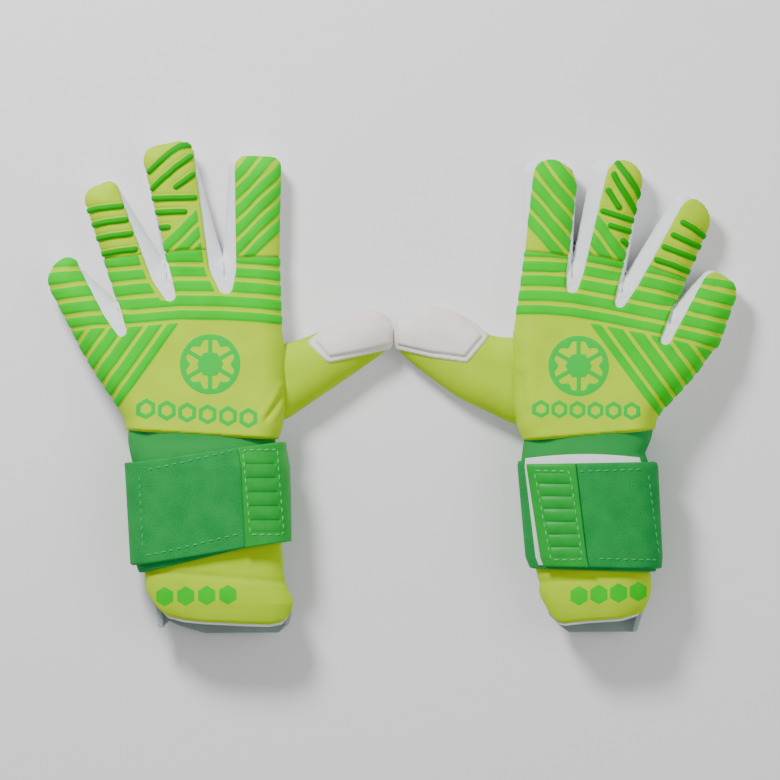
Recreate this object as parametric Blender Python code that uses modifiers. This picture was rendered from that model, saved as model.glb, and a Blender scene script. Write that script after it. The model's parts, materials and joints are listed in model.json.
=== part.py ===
"""A pair of goalkeeper gloves, laid palm down side by side, thumbs almost touching.

Lengths here are millimetres, turned into Blender's metres by MM. Each glove is drawn in its own
plan: u runs across the hand towards the thumb, v runs from the wrist towards the fingertips, and
z is the height above the surface that the palm lies on. The left glove's u is the world's +X and
the right glove's is -X, so one set of functions makes both.

A digit is a trough of palm latex, whose sides roll up past the finger, closed by a slab of
backhand foam. Each finger has a base and a tip, which hinge at the level of the palm.
"""

import math
from collections import namedtuple

import bmesh
import bpy
from mathutils import Vector

MM = 0.001
GAP = 0.3  # clearance between neighbouring pieces

# The layers of a digit, from the palm up
PALM = 6.0
WALL = 3.0
RIM = 19.7
LID = RIM + GAP
LID_THICK = 5.0
SOFT_EDGE = 2.5
TIP_RADIUS = 9.0
CORNER_STEPS = 4

# The hand grows deeper from the knuckles towards the wrist
HAND_SLOPE = 0.21
LEVEL_FROM_V = 134.0
WRIST_V = 40.0
FINGER_CHANNEL = (-18.0, 2.0)  # how far the way into a finger runs, along the finger
WRIST_WAY_HALF = 35.0
WRIST_WAY = (30.0, 60.0)
ABOVE_HAND = 60.0

# The thumb, its rounded nose, and the latex that wraps over it
THUMB_HINGE_U = 44.2
THUMB_HINGE_V = 70.0
THUMB_ROOT = (47.6, 92.5)
THUMB_WAY_U = (30.0, 50.0)
THUMB_WAY = (51.0, 89.0)
THUMB_SIDE = [(41.0, WRIST_V), (THUMB_HINGE_U, 47.0), (THUMB_HINGE_U, 93.0), (41.0, 104.0), (40.5, 121.0)]
NOSE_LENGTH = 12.0
NOSE_HEIGHT = 10.0
WRAP_THICK = 1.5

# The wrist's layers, as (inner offset, thickness) outwards from the opening
WRIST_HALF_HEIGHT = 15.0
WRIST_POWER = 2.4  # 2 is an ellipse, more is squarer
LINING = (0.0, 1.2)
CUFF = (1.5, 4.5)
BANDAGE = (6.3, 1.6)
BAND = (8.2, 2.2)
HOOK = (10.7, 1.0)
FLAP = (12.0, 2.2)
TAB = (14.5, 2.0)
BINDING = (1.5, 5.0)
WRIST_HEIGHT = WRIST_HALF_HEIGHT + BAND[0] + BAND[1]  # of the wrist's own axis
RING_STEPS = 28
CUFF_BACK_END = -71.0
BINDING_LENGTH = 2.0
HOOK_PAST_FLAP = 2.0  # degrees that the hook patch runs on past the flap's rounded end
CUFF_PALM_END = -80.0
CUFF_PARTING = 2.0  # degrees from the sides of the wrist to the edges of the cuff's two halves
LINING_ENDS = (-68.0, WRIST_V - GAP)
BANDAGE_ENDS = (-43.0, WRIST_V - GAP)

# root: the middle of the knuckle's hinge. tilt: degrees towards the thumb. base: knuckle to middle joint
Finger = namedtuple("Finger", "root tilt length base root_width tip_width")
# band, tab: edges along v at the wrist's middle. skew: rise of those edges per unit of u
Strap = namedtuple("Strap", "low high skew flap_from flap_to tab_from hook_from")
Glove = namedtuple("Glove", "side centre fingers slots outer thumb wrap wrist_u wrist_half strap")

LEFT = Glove(
    side=1,
    centre=(-109.1, -67.36),
    fingers={
        "index": Finger((24.9, 134.0), 2.7, 72.1, 34.0, 29.5, 28.0),
        "middle": Finger((-7.8, 133.0), -11.7, 82.5, 38.0, 29.5, 27.0),
        "ring": Finger((-38.5, 126.0), -22.3, 68.6, 31.0, 29.0, 25.0),
        "little": Finger((-64.0, 104.0), -33.5, 46.5, 21.0, 27.0, 23.0),
    },
    slots=[(8.6, 124.0), (-23.6, 118.0), (-52.4, 98.0)],
    outer=[(-75.2, 89.0), (-66.7, 76.0), (-54.0, 58.0), (-48.0, 45.0), (-47.0, WRIST_V)],
    thumb=[(56.7, 96.4), (93.0, 113.6), (101.6, 113.1), (110.0, 105.9),
           (110.0, 91.6), (107.4, 90.6), (82.5, 72.4), (56.7, 57.1), (47.5, 47.6)],
    wrap=[(60.0, 91.5), (90.5, 106.5), (96.5, 106.0), (96.5, 91.0), (73.5, 85.0)],
    wrist_u=0.5,
    wrist_half=35.0,
    strap=Strap(-35.0, 28.5, 0.10, 180.0, 10.0, 57.0, 48.0),
)
RIGHT = Glove(
    side=-1,
    centre=(118.3, -67.36),
    fingers={
        "index": Finger((25.6, 134.0), -2.5, 69.6, 33.0, 29.5, 28.0),
        "middle": Finger((-5.4, 131.5), -10.9, 74.0, 35.0, 29.0, 27.0),
        "ring": Finger((-34.8, 122.0), -25.5, 65.5, 30.0, 28.5, 25.0),
        "little": Finger((-58.6, 99.0), -30.5, 42.0, 20.0, 26.0, 23.0),
    },
    slots=[(9.8, 123.0), (-20.0, 114.5), (-46.6, 93.0)],
    outer=[(-70.4, 87.0), (-64.6, 77.2), (-49.7, 61.3), (-41.2, 52.0), (-40.2, WRIST_V)],
    thumb=[(57.8, 97.8), (68.4, 106.8), (96.6, 117.0), (115.8, 105.9),
           (115.8, 91.6), (95.2, 72.4), (76.0, 60.0), (57.0, 51.4), (47.5, 46.0)],
    wrap=[(62.0, 93.5), (71.0, 101.0), (96.0, 110.0), (102.0, 106.5), (102.0, 92.0), (74.0, 86.5)],
    wrist_u=0.0,
    wrist_half=31.5,
    strap=Strap(-40.0, 22.5, 0.0, 180.0, 32.0, 78.0, 70.0),
)
GLOVES = {"left": LEFT, "right": RIGHT}

# Colours as (red, green, blue), roughness
COLOURS = {
    "yellow_foam": ((0.72, 0.90, 0.08), 0.75),
    "white_latex": ((0.80, 0.80, 0.84), 0.65),
    "green_elastic": ((0.05, 0.38, 0.09), 0.85),
    "green_rubber": ((0.01, 0.50, 0.06), 0.40),
    "grey_lining": ((0.45, 0.48, 0.50), 0.90),
    "white_hook": ((0.72, 0.75, 0.78), 0.80),
}


def clear_scene():
    for obj in list(bpy.data.objects):
        bpy.data.objects.remove(obj)


def make_collections():
    """The collection that the parts go in, and the hidden one for cutters."""
    made = []
    for name in ("goalkeeper_gloves", "cutters"):
        collection = bpy.data.collections.new(name)
        bpy.context.scene.collection.children.link(collection)
        made.append(collection)
    return made


def make_material(name):
    colour, roughness = COLOURS[name]
    material = bpy.data.materials.new(name)
    material.use_nodes = True
    shader = material.node_tree.nodes["Principled BSDF"]
    shader.inputs["Base Color"].default_value = (*colour, 1.0)
    shader.inputs["Roughness"].default_value = roughness
    shader.inputs["Metallic"].default_value = 0.0
    return material


def world(glove, u, v, z=0.0):
    """A point of a glove's plan, in the scene's metres."""
    x = glove.centre[0] + glove.side * u
    return Vector((x, glove.centre[1] + v, z)) * MM


def along_finger(finger, x, y):
    """A point x across (towards the thumb) and y along a finger, in the glove's plan."""
    tilt = math.radians(finger.tilt)
    u = finger.root[0] + x * math.cos(tilt) + y * math.sin(tilt)
    v = finger.root[1] - x * math.sin(tilt) + y * math.cos(tilt)
    return u, v


def arc(centre, radius, start, end, steps):
    """Points of an arc, from start to end in degrees."""
    angles = [math.radians(start + (end - start) * i / steps) for i in range(steps + 1)]
    return [(centre[0] + radius * math.cos(a), centre[1] + radius * math.sin(a)) for a in angles]


def finger_outline(finger, start, end, inset=0.0):
    """The plan of a finger between two distances from its knuckle. Its far end is rounded where the finger ends."""

    def half(y):
        return (finger.root_width + (finger.tip_width - finger.root_width) * y / finger.length) / 2 - inset

    if end < finger.length:
        local = [(half(start), start), (half(end), end), (-half(end), end), (-half(start), start)]
    else:
        stop = finger.length - inset
        radius = TIP_RADIUS - inset / 2
        across = half(finger.length) - radius
        right = arc((across, stop - radius), radius, 0, 90, CORNER_STEPS)
        left = arc((-across, stop - radius), radius, 90, 180, CORNER_STEPS)
        local = [(half(start), start), *right, *left, (-half(start), start)]
    return [along_finger(finger, x, y) for x, y in local]


def inset(points, distance):
    """A closed outline moved inwards by distance, its corners mitred."""
    area = sum(a[0] * b[1] - b[0] * a[1] for a, b in zip(points, points[1:] + points[:1]))
    sign = 1 if area > 0 else -1
    moved = []
    for before, here, after in zip(points[-1:] + points[:-1], points, points[1:] + points[:1]):
        first = (Vector(here) - Vector(before)).normalized()
        second = (Vector(after) - Vector(here)).normalized()
        inward = [Vector((-d.y, d.x)) * sign for d in (first, second)]
        mitre = (inward[0] + inward[1]) / (1 + inward[0].dot(inward[1]))
        moved.append(tuple(Vector(here) + mitre * distance))
    return moved


def height(level, u, v):
    """A level is a number, or a function of the plan."""
    return level(u, v) if callable(level) else level


def curve_to_mesh(curve_object):
    """A mesh from a filled curve, its caps welded on. The curve is removed."""
    bpy.context.view_layer.update()
    graph = bpy.context.evaluated_depsgraph_get()
    mesh = bpy.data.meshes.new_from_object(curve_object.evaluated_get(graph))
    bpy.data.objects.remove(curve_object)
    shape = bmesh.new()
    shape.from_mesh(mesh)
    bmesh.ops.remove_doubles(shape, verts=shape.verts, dist=0.01 * MM)
    bmesh.ops.dissolve_limit(shape, angle_limit=0.001, verts=shape.verts, edges=shape.edges)
    shape.to_mesh(mesh)
    shape.free()
    return mesh


def prism_mesh(glove, outline, low, high, soft=0.0):
    """A filled outline between two levels. soft rounds the edge of its top."""
    curve = bpy.data.curves.new("outline", "CURVE")
    curve.dimensions = "2D"
    curve.fill_mode = "BOTH"
    curve.extrude = MM
    spline = curve.splines.new("POLY")
    spline.points.add(len(outline) - 1)
    for point, (u, v) in zip(spline.points, outline):
        point.co = (*world(glove, u, v), 1.0)
    spline.use_cyclic_u = True
    guide = bpy.data.objects.new("outline", curve)
    bpy.context.scene.collection.objects.link(guide)
    mesh = curve_to_mesh(guide)
    shape = bmesh.new()
    shape.from_mesh(mesh)
    top = {vert for vert in shape.verts if vert.co.z > 0}
    for vert in shape.verts:
        u = (vert.co.x / MM - glove.centre[0]) * glove.side
        v = vert.co.y / MM - glove.centre[1]
        vert.co.z = height(high if vert in top else low, u, v) * MM
    bmesh.ops.recalc_face_normals(shape, faces=shape.faces)
    if soft:
        rim = [edge for edge in shape.edges if set(edge.verts) <= top]
        bmesh.ops.bevel(shape, geom=rim, offset=soft * MM, segments=2, profile=0.5, affect="EDGES")
    shape.to_mesh(mesh)
    shape.free()
    return mesh


def ring_point(glove, degrees, offset):
    """A point (u, z) on the wrist's section, pushed outwards by offset. 0 is the thumb's side, 90 the back."""
    a = math.radians(degrees)
    power = 2 / WRIST_POWER
    c, s = math.cos(a), math.sin(a)
    u = glove.wrist_half * math.copysign(abs(c) ** power, c)
    z = WRIST_HALF_HEIGHT * math.copysign(abs(s) ** power, s)
    steep = WRIST_POWER - 1
    normal = Vector((
        math.copysign(abs(u / glove.wrist_half) ** steep, u) / glove.wrist_half,
        math.copysign(abs(z / WRIST_HALF_HEIGHT) ** steep, z) / WRIST_HALF_HEIGHT,
    )).normalized()
    return glove.wrist_u + u + normal.x * offset, WRIST_HEIGHT + z + normal.y * offset


def sleeve_mesh(glove, layer, degrees, ends, skew=0.0):
    """A layer of the wrist from one angle to another, as a surface drawn down its middle for Solidify to thicken."""
    start, stop = degrees
    steps = max(3, round(abs(stop - start) / 360 * RING_STEPS))
    closed = abs(stop - start) == 360
    middle = layer[0] + layer[1] / 2
    shape = bmesh.new()
    count = steps if closed else steps + 1
    chain = []
    for i in range(count):
        u, z = ring_point(glove, start + (stop - start) * i / steps, middle)
        chain.append(shape.verts.new(world(glove, u, ends[0] + skew * u, z)))
    pairs = list(zip(chain, chain[1:])) + ([(chain[-1], chain[0])] if closed else [])
    edges = [shape.edges.new(pair) for pair in pairs]
    grown = bmesh.ops.extrude_edge_only(shape, edges=edges)["geom"]
    moved = [item for item in grown if isinstance(item, bmesh.types.BMVert)]
    bmesh.ops.translate(shape, verts=moved, vec=(0, (ends[1] - ends[0]) * MM, 0))
    bmesh.ops.recalc_face_normals(shape, faces=shape.faces)
    mesh = bpy.data.meshes.new("sleeve")
    shape.to_mesh(mesh)
    shape.free()
    return mesh


class Builder:
    """Adds the pieces of one glove, each under the empty of the body that it moves with."""

    def __init__(self, name, glove, parts, cutters, materials):
        self.name = name
        self.glove = glove
        self.parts = parts
        self.cutters = cutters
        self.materials = materials
        self.pivots = {}

    def body(self, name, u, v, z=0.0, parent=None):
        """An empty on a joint's axis, for the pieces that turn about it."""
        empty = bpy.data.objects.new(f"{self.name}_{name}_pivot", None)
        self.parts.objects.link(empty)
        where = world(self.glove, u, v, z)
        empty.location = where
        if parent:
            empty.parent = self.pivots[parent][0]
            empty.location = where - self.pivots[parent][1]
        self.pivots[name] = (empty, where)

    def piece(self, name, mesh, material, body):
        obj = bpy.data.objects.new(f"{self.name}_{name}", mesh)
        mesh.materials.clear()
        mesh.materials.append(self.materials[material])
        self.parts.objects.link(obj)
        empty, where = self.pivots[body]
        obj.parent = empty
        obj.location = -where
        return obj

    def cut(self, obj, name, outline, low, high):
        """Takes a prism out of a piece."""
        cutter = bpy.data.objects.new(f"{obj.name}_{name}", prism_mesh(self.glove, outline, low, high))
        self.cutters.objects.link(cutter)
        cutter.hide_render = True
        cutter.display_type = "WIRE"
        boolean = obj.modifiers.new(name, "BOOLEAN")
        boolean.operation = "DIFFERENCE"
        boolean.object = cutter

    def sleeve(self, name, layer, degrees, ends, material, body, skew=0.0):
        mesh = sleeve_mesh(self.glove, layer, degrees, ends, skew)
        obj = self.piece(name, mesh, material, body)
        solidify = obj.modifiers.new("thickness", "SOLIDIFY")
        solidify.thickness = layer[1] * MM
        solidify.offset = 0.0
        solidify.use_even_offset = True
        return obj


def hand_top(u, v):
    """The rim of the hand's trough, which rises towards the wrist."""
    return RIM + HAND_SLOPE * (LEVEL_FROM_V - v)


def add_finger(b, name, finger):
    middle_joint = along_finger(finger, 0, finger.base)
    b.body(f"{name}_base", *finger.root, parent="glove")
    b.body(f"{name}_tip", *middle_joint, parent=f"{name}_base")
    spans = {
        "base": (GAP / 2, finger.base - GAP / 2),
        "tip": (finger.base + GAP / 2, finger.length),
    }
    for part, (start, end) in spans.items():
        outline = finger_outline(finger, start, end)
        body = f"{name}_{part}"
        trough = b.piece(f"{name}_{part}_palm", prism_mesh(b.glove, outline, 0, RIM), "white_latex", body)
        past_end = end + WALL if part == "base" else end
        pocket = finger_outline(finger, start - WALL, past_end, inset=WALL)
        b.cut(trough, "pocket", pocket, PALM, RIM + WALL)
        lid = prism_mesh(b.glove, outline, LID, LID + LID_THICK, soft=SOFT_EDGE)
        b.piece(f"{name}_{part}_back", lid, "yellow_foam", body)


def knuckle(finger, x):
    """A corner of the hand at a finger's knuckle."""
    return along_finger(finger, x * finger.root_width / 2, -GAP / 2)


def hand_outline(glove):
    """The hand's plan, which runs up to each knuckle and down into the slot between two fingers."""
    points = list(THUMB_SIDE)
    fingers = list(glove.fingers.values())
    for index, finger in enumerate(fingers):
        points += [knuckle(finger, 1), knuckle(finger, -1)]
        if index < len(glove.slots):
            points.append(glove.slots[index])
    return points + glove.outer


def box_outline(us, vs):
    """A rectangle in the plan."""
    return [(us[0], vs[0]), (us[1], vs[0]), (us[1], vs[1]), (us[0], vs[1])]


def add_hand(b):
    outline = hand_outline(b.glove)
    trough = b.piece("hand_palm", prism_mesh(b.glove, outline, 0, hand_top), "white_latex", "glove")
    core = THUMB_SIDE + b.glove.slots + b.glove.outer
    b.cut(trough, "pocket", inset(core, WALL), PALM, ABOVE_HAND)
    for name, finger in b.glove.fingers.items():
        start, end = FINGER_CHANNEL
        b.cut(trough, f"way_to_{name}", finger_outline(finger, start, end, inset=WALL), PALM, ABOVE_HAND)
    b.cut(trough, "way_to_thumb", box_outline(THUMB_WAY_U, THUMB_WAY), PALM, ABOVE_HAND)
    wrist_way = box_outline((-WRIST_WAY_HALF, WRIST_WAY_HALF), WRIST_WAY)
    b.cut(trough, "way_to_wrist", wrist_way, PALM, ABOVE_HAND)
    lid = prism_mesh(
        b.glove,
        outline,
        lambda u, v: hand_top(u, v) + GAP,
        lambda u, v: hand_top(u, v) + GAP + LID_THICK,
    )
    b.piece("hand_back", lid, "yellow_foam", "glove")


def slope_nose(mesh, glove, tip_u):
    """Planes off the upper corner of the thumb's nose."""
    shape = bmesh.new()
    shape.from_mesh(mesh)
    normal = Vector((glove.side * (LID + LID_THICK - NOSE_HEIGHT), 0, NOSE_LENGTH))
    bmesh.ops.bisect_plane(
        shape,
        geom=shape.verts[:] + shape.edges[:] + shape.faces[:],
        plane_co=world(glove, tip_u, 0, NOSE_HEIGHT),
        plane_no=normal,
        clear_outer=True,
    )
    open_edges = [edge for edge in shape.edges if edge.is_boundary]
    bmesh.ops.holes_fill(shape, edges=open_edges)
    bmesh.ops.recalc_face_normals(shape, faces=shape.faces)
    shape.to_mesh(mesh)
    shape.free()


def add_thumb(b):
    hinge_u = THUMB_HINGE_U + GAP
    outline = [(hinge_u, v) for v in THUMB_ROOT] + b.glove.thumb
    tip_u = max(u for u, v in outline)
    b.body("thumb", THUMB_HINGE_U + GAP / 2, THUMB_HINGE_V, parent="glove")
    shell = prism_mesh(b.glove, outline, 0, RIM)
    slope_nose(shell, b.glove, tip_u)
    trough = b.piece("thumb_palm", shell, "white_latex", "thumb")
    pocket = [(min(u, tip_u - NOSE_LENGTH), v) for u, v in inset(outline, WALL)]
    pocket[:2] = [(hinge_u - WALL, v) for v in THUMB_WAY]
    b.cut(trough, "pocket", pocket, PALM, RIM + WALL)
    lid = prism_mesh(b.glove, outline, LID, LID + LID_THICK)
    slope_nose(lid, b.glove, tip_u)
    b.piece("thumb_back", lid, "yellow_foam", "thumb")
    wrap_low = LID + LID_THICK + GAP
    wrap = prism_mesh(b.glove, b.glove.wrap, wrap_low, wrap_low + WRAP_THICK)
    b.piece("thumb_wrap", wrap, "white_latex", "thumb")


def add_wrist(b):
    glove, strap = b.glove, b.glove.strap
    cuff_high = WRIST_V - GAP
    back_span = (CUFF_PARTING, 180 - CUFF_PARTING)
    palm_span = (180 + CUFF_PARTING, 360 - CUFF_PARTING)
    binding_span = (2 * CUFF_PARTING, 180 - 2 * CUFF_PARTING)
    b.sleeve("cuff_lining", LINING, (0, 360), LINING_ENDS, "grey_lining", "glove")
    b.sleeve("cuff_back", CUFF, back_span, (CUFF_BACK_END, cuff_high), "yellow_foam", "glove")
    b.sleeve("cuff_palm", CUFF, palm_span, (CUFF_PALM_END, cuff_high), "grey_lining", "glove")
    binding_high = CUFF_BACK_END - GAP
    binding_ends = (binding_high - BINDING_LENGTH, binding_high)
    b.sleeve("cuff_binding", BINDING, binding_span, binding_ends, "white_hook", "glove")
    b.sleeve("wrist_bandage", BANDAGE, (0, 360), BANDAGE_ENDS, "green_elastic", "glove")
    ends = (strap.low, strap.high)
    b.sleeve("strap_band", BAND, (0, 360), ends, "green_elastic", "glove", strap.skew)
    hinge_u, hinge_z = ring_point(glove, 180, FLAP[0] + FLAP[1] / 2)
    b.body("strap_flap", hinge_u, (strap.low + strap.high) / 2, hinge_z, parent="glove")
    flap = (strap.flap_from, strap.flap_to)
    b.sleeve("strap_flap", FLAP, flap, ends, "green_elastic", "strap_flap", strap.skew)
    hook = (strap.hook_from, strap.flap_to + HOOK_PAST_FLAP)
    b.sleeve("hook_patch", HOOK, hook, ends, "white_hook", "strap_flap", strap.skew)
    b.sleeve("pull_tab", TAB, (strap.tab_from, strap.flap_to), ends, "green_rubber", "strap_flap", strap.skew)


def add_glove(name, glove, parts, cutters, materials):
    b = Builder(name, glove, parts, cutters, materials)
    b.body("glove", 0, 0)
    add_hand(b)
    for finger_name, finger in glove.fingers.items():
        add_finger(b, finger_name, finger)
    add_thumb(b)
    add_wrist(b)


def main():
    clear_scene()
    parts, cutters = make_collections()
    materials = {name: make_material(name) for name in COLOURS}
    for name, glove in GLOVES.items():
        add_glove(name, glove, parts, cutters, materials)


main()
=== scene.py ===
"""The looks of a pair of goalkeeper gloves: embossed foam backs, white gussets, wrist straps.

Lengths are millimetres until a piece is made. Each glove is drawn in its own plan: u runs across
the hand towards the thumb and v from the wrist to the fingertips. Within a finger, x runs across
it towards the thumb and y along it from the knuckle. The places of the knuckles, middle joints
and wrists come from the frame.
"""

import json
import math
from collections import namedtuple

import bpy
import numpy as np
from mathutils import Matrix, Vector

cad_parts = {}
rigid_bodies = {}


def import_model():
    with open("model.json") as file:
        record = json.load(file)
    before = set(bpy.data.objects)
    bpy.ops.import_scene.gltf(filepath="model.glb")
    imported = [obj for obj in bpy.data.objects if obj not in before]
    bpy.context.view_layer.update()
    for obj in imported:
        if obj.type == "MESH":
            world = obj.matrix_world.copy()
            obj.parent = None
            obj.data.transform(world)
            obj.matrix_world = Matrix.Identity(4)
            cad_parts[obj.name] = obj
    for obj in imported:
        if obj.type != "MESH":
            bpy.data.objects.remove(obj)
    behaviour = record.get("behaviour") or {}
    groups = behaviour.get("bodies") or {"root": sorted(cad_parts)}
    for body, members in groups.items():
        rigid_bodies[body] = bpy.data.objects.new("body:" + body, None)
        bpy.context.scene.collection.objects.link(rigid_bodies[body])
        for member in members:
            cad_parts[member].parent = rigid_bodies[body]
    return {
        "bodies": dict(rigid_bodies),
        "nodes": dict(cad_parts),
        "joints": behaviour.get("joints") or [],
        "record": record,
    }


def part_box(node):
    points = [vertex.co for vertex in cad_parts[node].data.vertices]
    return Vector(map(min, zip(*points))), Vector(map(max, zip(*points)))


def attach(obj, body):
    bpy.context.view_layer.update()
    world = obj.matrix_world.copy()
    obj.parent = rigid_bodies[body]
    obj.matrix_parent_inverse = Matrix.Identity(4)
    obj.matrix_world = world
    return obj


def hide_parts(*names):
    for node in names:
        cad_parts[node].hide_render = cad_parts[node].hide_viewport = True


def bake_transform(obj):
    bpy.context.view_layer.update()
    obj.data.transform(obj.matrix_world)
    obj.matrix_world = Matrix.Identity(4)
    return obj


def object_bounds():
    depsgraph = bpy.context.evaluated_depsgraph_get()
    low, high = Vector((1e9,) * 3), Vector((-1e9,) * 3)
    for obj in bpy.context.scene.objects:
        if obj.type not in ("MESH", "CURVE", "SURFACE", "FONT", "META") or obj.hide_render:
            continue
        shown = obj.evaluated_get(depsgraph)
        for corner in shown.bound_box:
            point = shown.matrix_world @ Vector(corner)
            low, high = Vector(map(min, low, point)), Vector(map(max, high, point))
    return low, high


MM = 0.001
FINGERS = ("index", "middle", "ring", "little")
FAR = 9.0  # a distance that is out of reach of every line, seam and edge

# Heights of the surfaces of the hand and fingers
WRIST_V = 40.0
SIDE_SEAM = 10.5  # where back and palm meet along a finger's side
BACK = 22.3
LEVEL_FROM_V = 136.0
BACK_RISE = 0.222  # the back of the hand climbs towards the wrist
SEAM_RISE = 0.12
BACK_ROUND = 13.0
PALM_ROUND = 9.0
CLOTH_STEP = 1.15
FINGER_FROM_Y = 4.0
PAST_WRIST = 50.0  # how far the hand's section carries on beyond its wrist end

# The foam on the back. Each relief is (height or depth, width)
FOAM = 2.6
FOAM_SINK = 0.7
FOAM_EDGE = 1.9
FOAM_STEP = 0.75
FOAM_DROP = 1.2  # over the hand's wrist end
FOAM_SHORT = 0.3  # of the fingertips
BAND_SWELL = (1.0, 1.9)
RIB_SWELL = (1.4, 1.9)
RIB_TRENCH = (0.7, 0.8)
SEAM_TRENCH = (0.8, 0.55)
BADGE_RISE = (0.25, 0.5)

# The printed green: half the width of the yellow lines between bands, where the bands end and the edge
# stripes begin, counted in bands from the first line, and what is left free along seams and edges
BAND_LINE = 1.25
BANDS_END = 3.76
EDGE_STRIPES_FROM = 3.98
BANDS_TO_SEAM = 0.3
STRIPES_TO_SEAM = 0.5
GREEN_TO_EDGE = 0.35
RIB_HALF = 1.95
RIB_TO_EDGE = 0.2

# The badges: a ball with its ring and spokes, and rows of hexagons
BALL_RADIUS = 16.5
RING_HALF = 1.6
SPOKE_HALF = 1.3
BALL_HEXAGON = 0.42  # the middle panel and the outer panels, as shares of the radius
BALL_CAP = 0.30
HEXAGONS = 6
HEXAGON_HOLE = 0.55  # of a hexagon's size
CUFF_HEXAGONS = 4
CUFF_HEXAGON = 5.2

# The white tongues below the crotches: their seam's groove as (depth, width), and their creases
TONGUE_SEAM = (0.9, 0.8)
TONGUE_CREASE = 0.34
TONGUE_SLANT = 0.7

# How far each side of a joint the cloth's bend would reach, which bend_over works out but does not use, and
# where a finger's pieces part
KNUCKLE_BEND = (-9.0, 10.0)
MIDDLE_BEND = 10.0
PART_Y = 10.5

# The cloth walls in the gaps between fingers
WEB_APART = 0.8
WEB_INSET = 0.5
WEB_THICK = 0.7

# The thumb, and the latex wrapped over it: the rise of its edge as (height, width), then its raised middle
# and the groove round that as (height or depth, how far inside the edge, width)
THUMB_SEAM = 11.0
THUMB_TOP = 25.0
THUMB_FALL = 4.0
THUMB_FALL_FROM = 60.0
THUMB_FALL_OVER = 50.0
THUMB_ROUND = 17.0
THUMB_PALM_ROUND = 10.0
THUMB_BEND = (38.0, 62.0)  # where along u the thumb's cloth would bend; add_thumb works out its ends but nothing uses them
THUMB_V = 70.0
THUMB_STEP = 1.0
WRAP_STEP = 0.7
WRAP_SINK = 0.3
WRAP_EDGE = (1.4, 0.9)
WRAP_PAD = (1.7, 3.5, 2.2)
WRAP_GROOVE = (0.6, 3.3, 0.5)

# The wrist's layers outwards from the cuff's own surface, as (offset, thickness)
WRIST_HEIGHT = 25.2
WRIST_POWER = 2.8
WRIST_ROUND = 240.0
CUFF = (-4.5, 4.5)
LINING = (-6.2, 1.4)
BANDAGE = (0.3, 1.2)
CUFF_PALM = (-4.5, 3.2)
BAND = (1.7, 1.6)
HOOK = (3.5, 1.0)
FLAP = (4.6, 2.0)
TAB = (6.7, 1.7)

# Where those layers end
CUFF_TOP_V = 38.0
LINING_END_V = -64.0
BANDAGE_LOW_V = -22.0
BANDAGE_HIGH_V = 46.0
PIPING = 0.9
PIPING_OFFSET = -3.6
WHOLE_ROUND = ((0.0, 0.0), (360.0, 360.0))

# The strap: angles round the wrist, how far inside an edge its stitching runs, and the thread's stitches
FLAP_FOLD = 196.0
HOOK_START = 150.0
HOOK_TUCK = 1.5
HOOK_SHOW = 0.5
HOOK_BOW = 2.2
TAB_BOX_END = 4.0
TAB_BOX_CORNER = 4.2
TAB_BOX_SIDE = 4.4
FLAP_SEAM_HIGH = 4.4
FLAP_SEAM_LOW = 5.5
FLAP_SEAM_LOW_END = 5.0
STITCH = 3.4
STITCH_GAP = 1.5
THREAD = 0.42

# The gap between two fingers: its crotch, the foot of the white tongue below it, and the radius there
Web = namedtuple("Web", "tip bottom radius")
# A finger's edges are (x at the knuckle, x at the tip). rounding is the radius of the outer and inner corner
# of its tip. seam is how far above the first yellow line the bands end, at the outer and the inner edge
Finger = namedtuple("Finger", "outer inner foam_outer foam_inner rounding seam ribs")
# Diagonal stripes: the way they run, in degrees, the pitch of the yellow lines between them and half a line's
# width, then, measured across them, the place of the first line and of both ends
Stripes = namedtuple("Stripes", "slope pitch half start low high")
# The strap from above: the flap's corners, u of the tab's inner corners, v of the band's edges and how far it
# leans. hook holds the hook patch where it shows. tab_in and flap_in keep stitching inside the strap's ends
Strap = namedtuple(
    "Strap", "outer_high inner_high inner_low outer_low tab_high tab_low band lean hook tab_in flap_in ridges"
)
# The end of a hook patch that shows, and the two ends of its upper edge
Hook = namedtuple("Hook", "end_low end_high edge_start edge_stop")
# creases: folds of the back, as (line, depth, width). thumb_side, little_side: the hand's edges
# arch: how far the bands bow, as (u, rise). bands: (v of the first yellow line, pitch)
# margin: what stays yellow beside the middle and ring finger's bands, index_margin along the index finger
# little_top: how far above the first line the little finger's bands go, in bands
# index, middle, edge: the diagonal stripes of two fingers, and those along the little finger's side
# thumb, patch: the outlines of the thumb and of the latex over it. wrist_u: the middle of the wrist's lining
# wrist: rows of (v, least u, greatest u, half height). cuff_end, palm_end: (share of the half-width, v)
# emblem: (first hexagon, step to the next). badge: (middle of the ball, first hexagon, step, size)
Glove = namedtuple(
    "Glove",
    "side fingers webs creases thumb_side little_side arch bands margin little_top index index_margin middle"
    " edge thumb patch wrist_u wrist strap cuff_end palm_end emblem badge",
)

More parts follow.
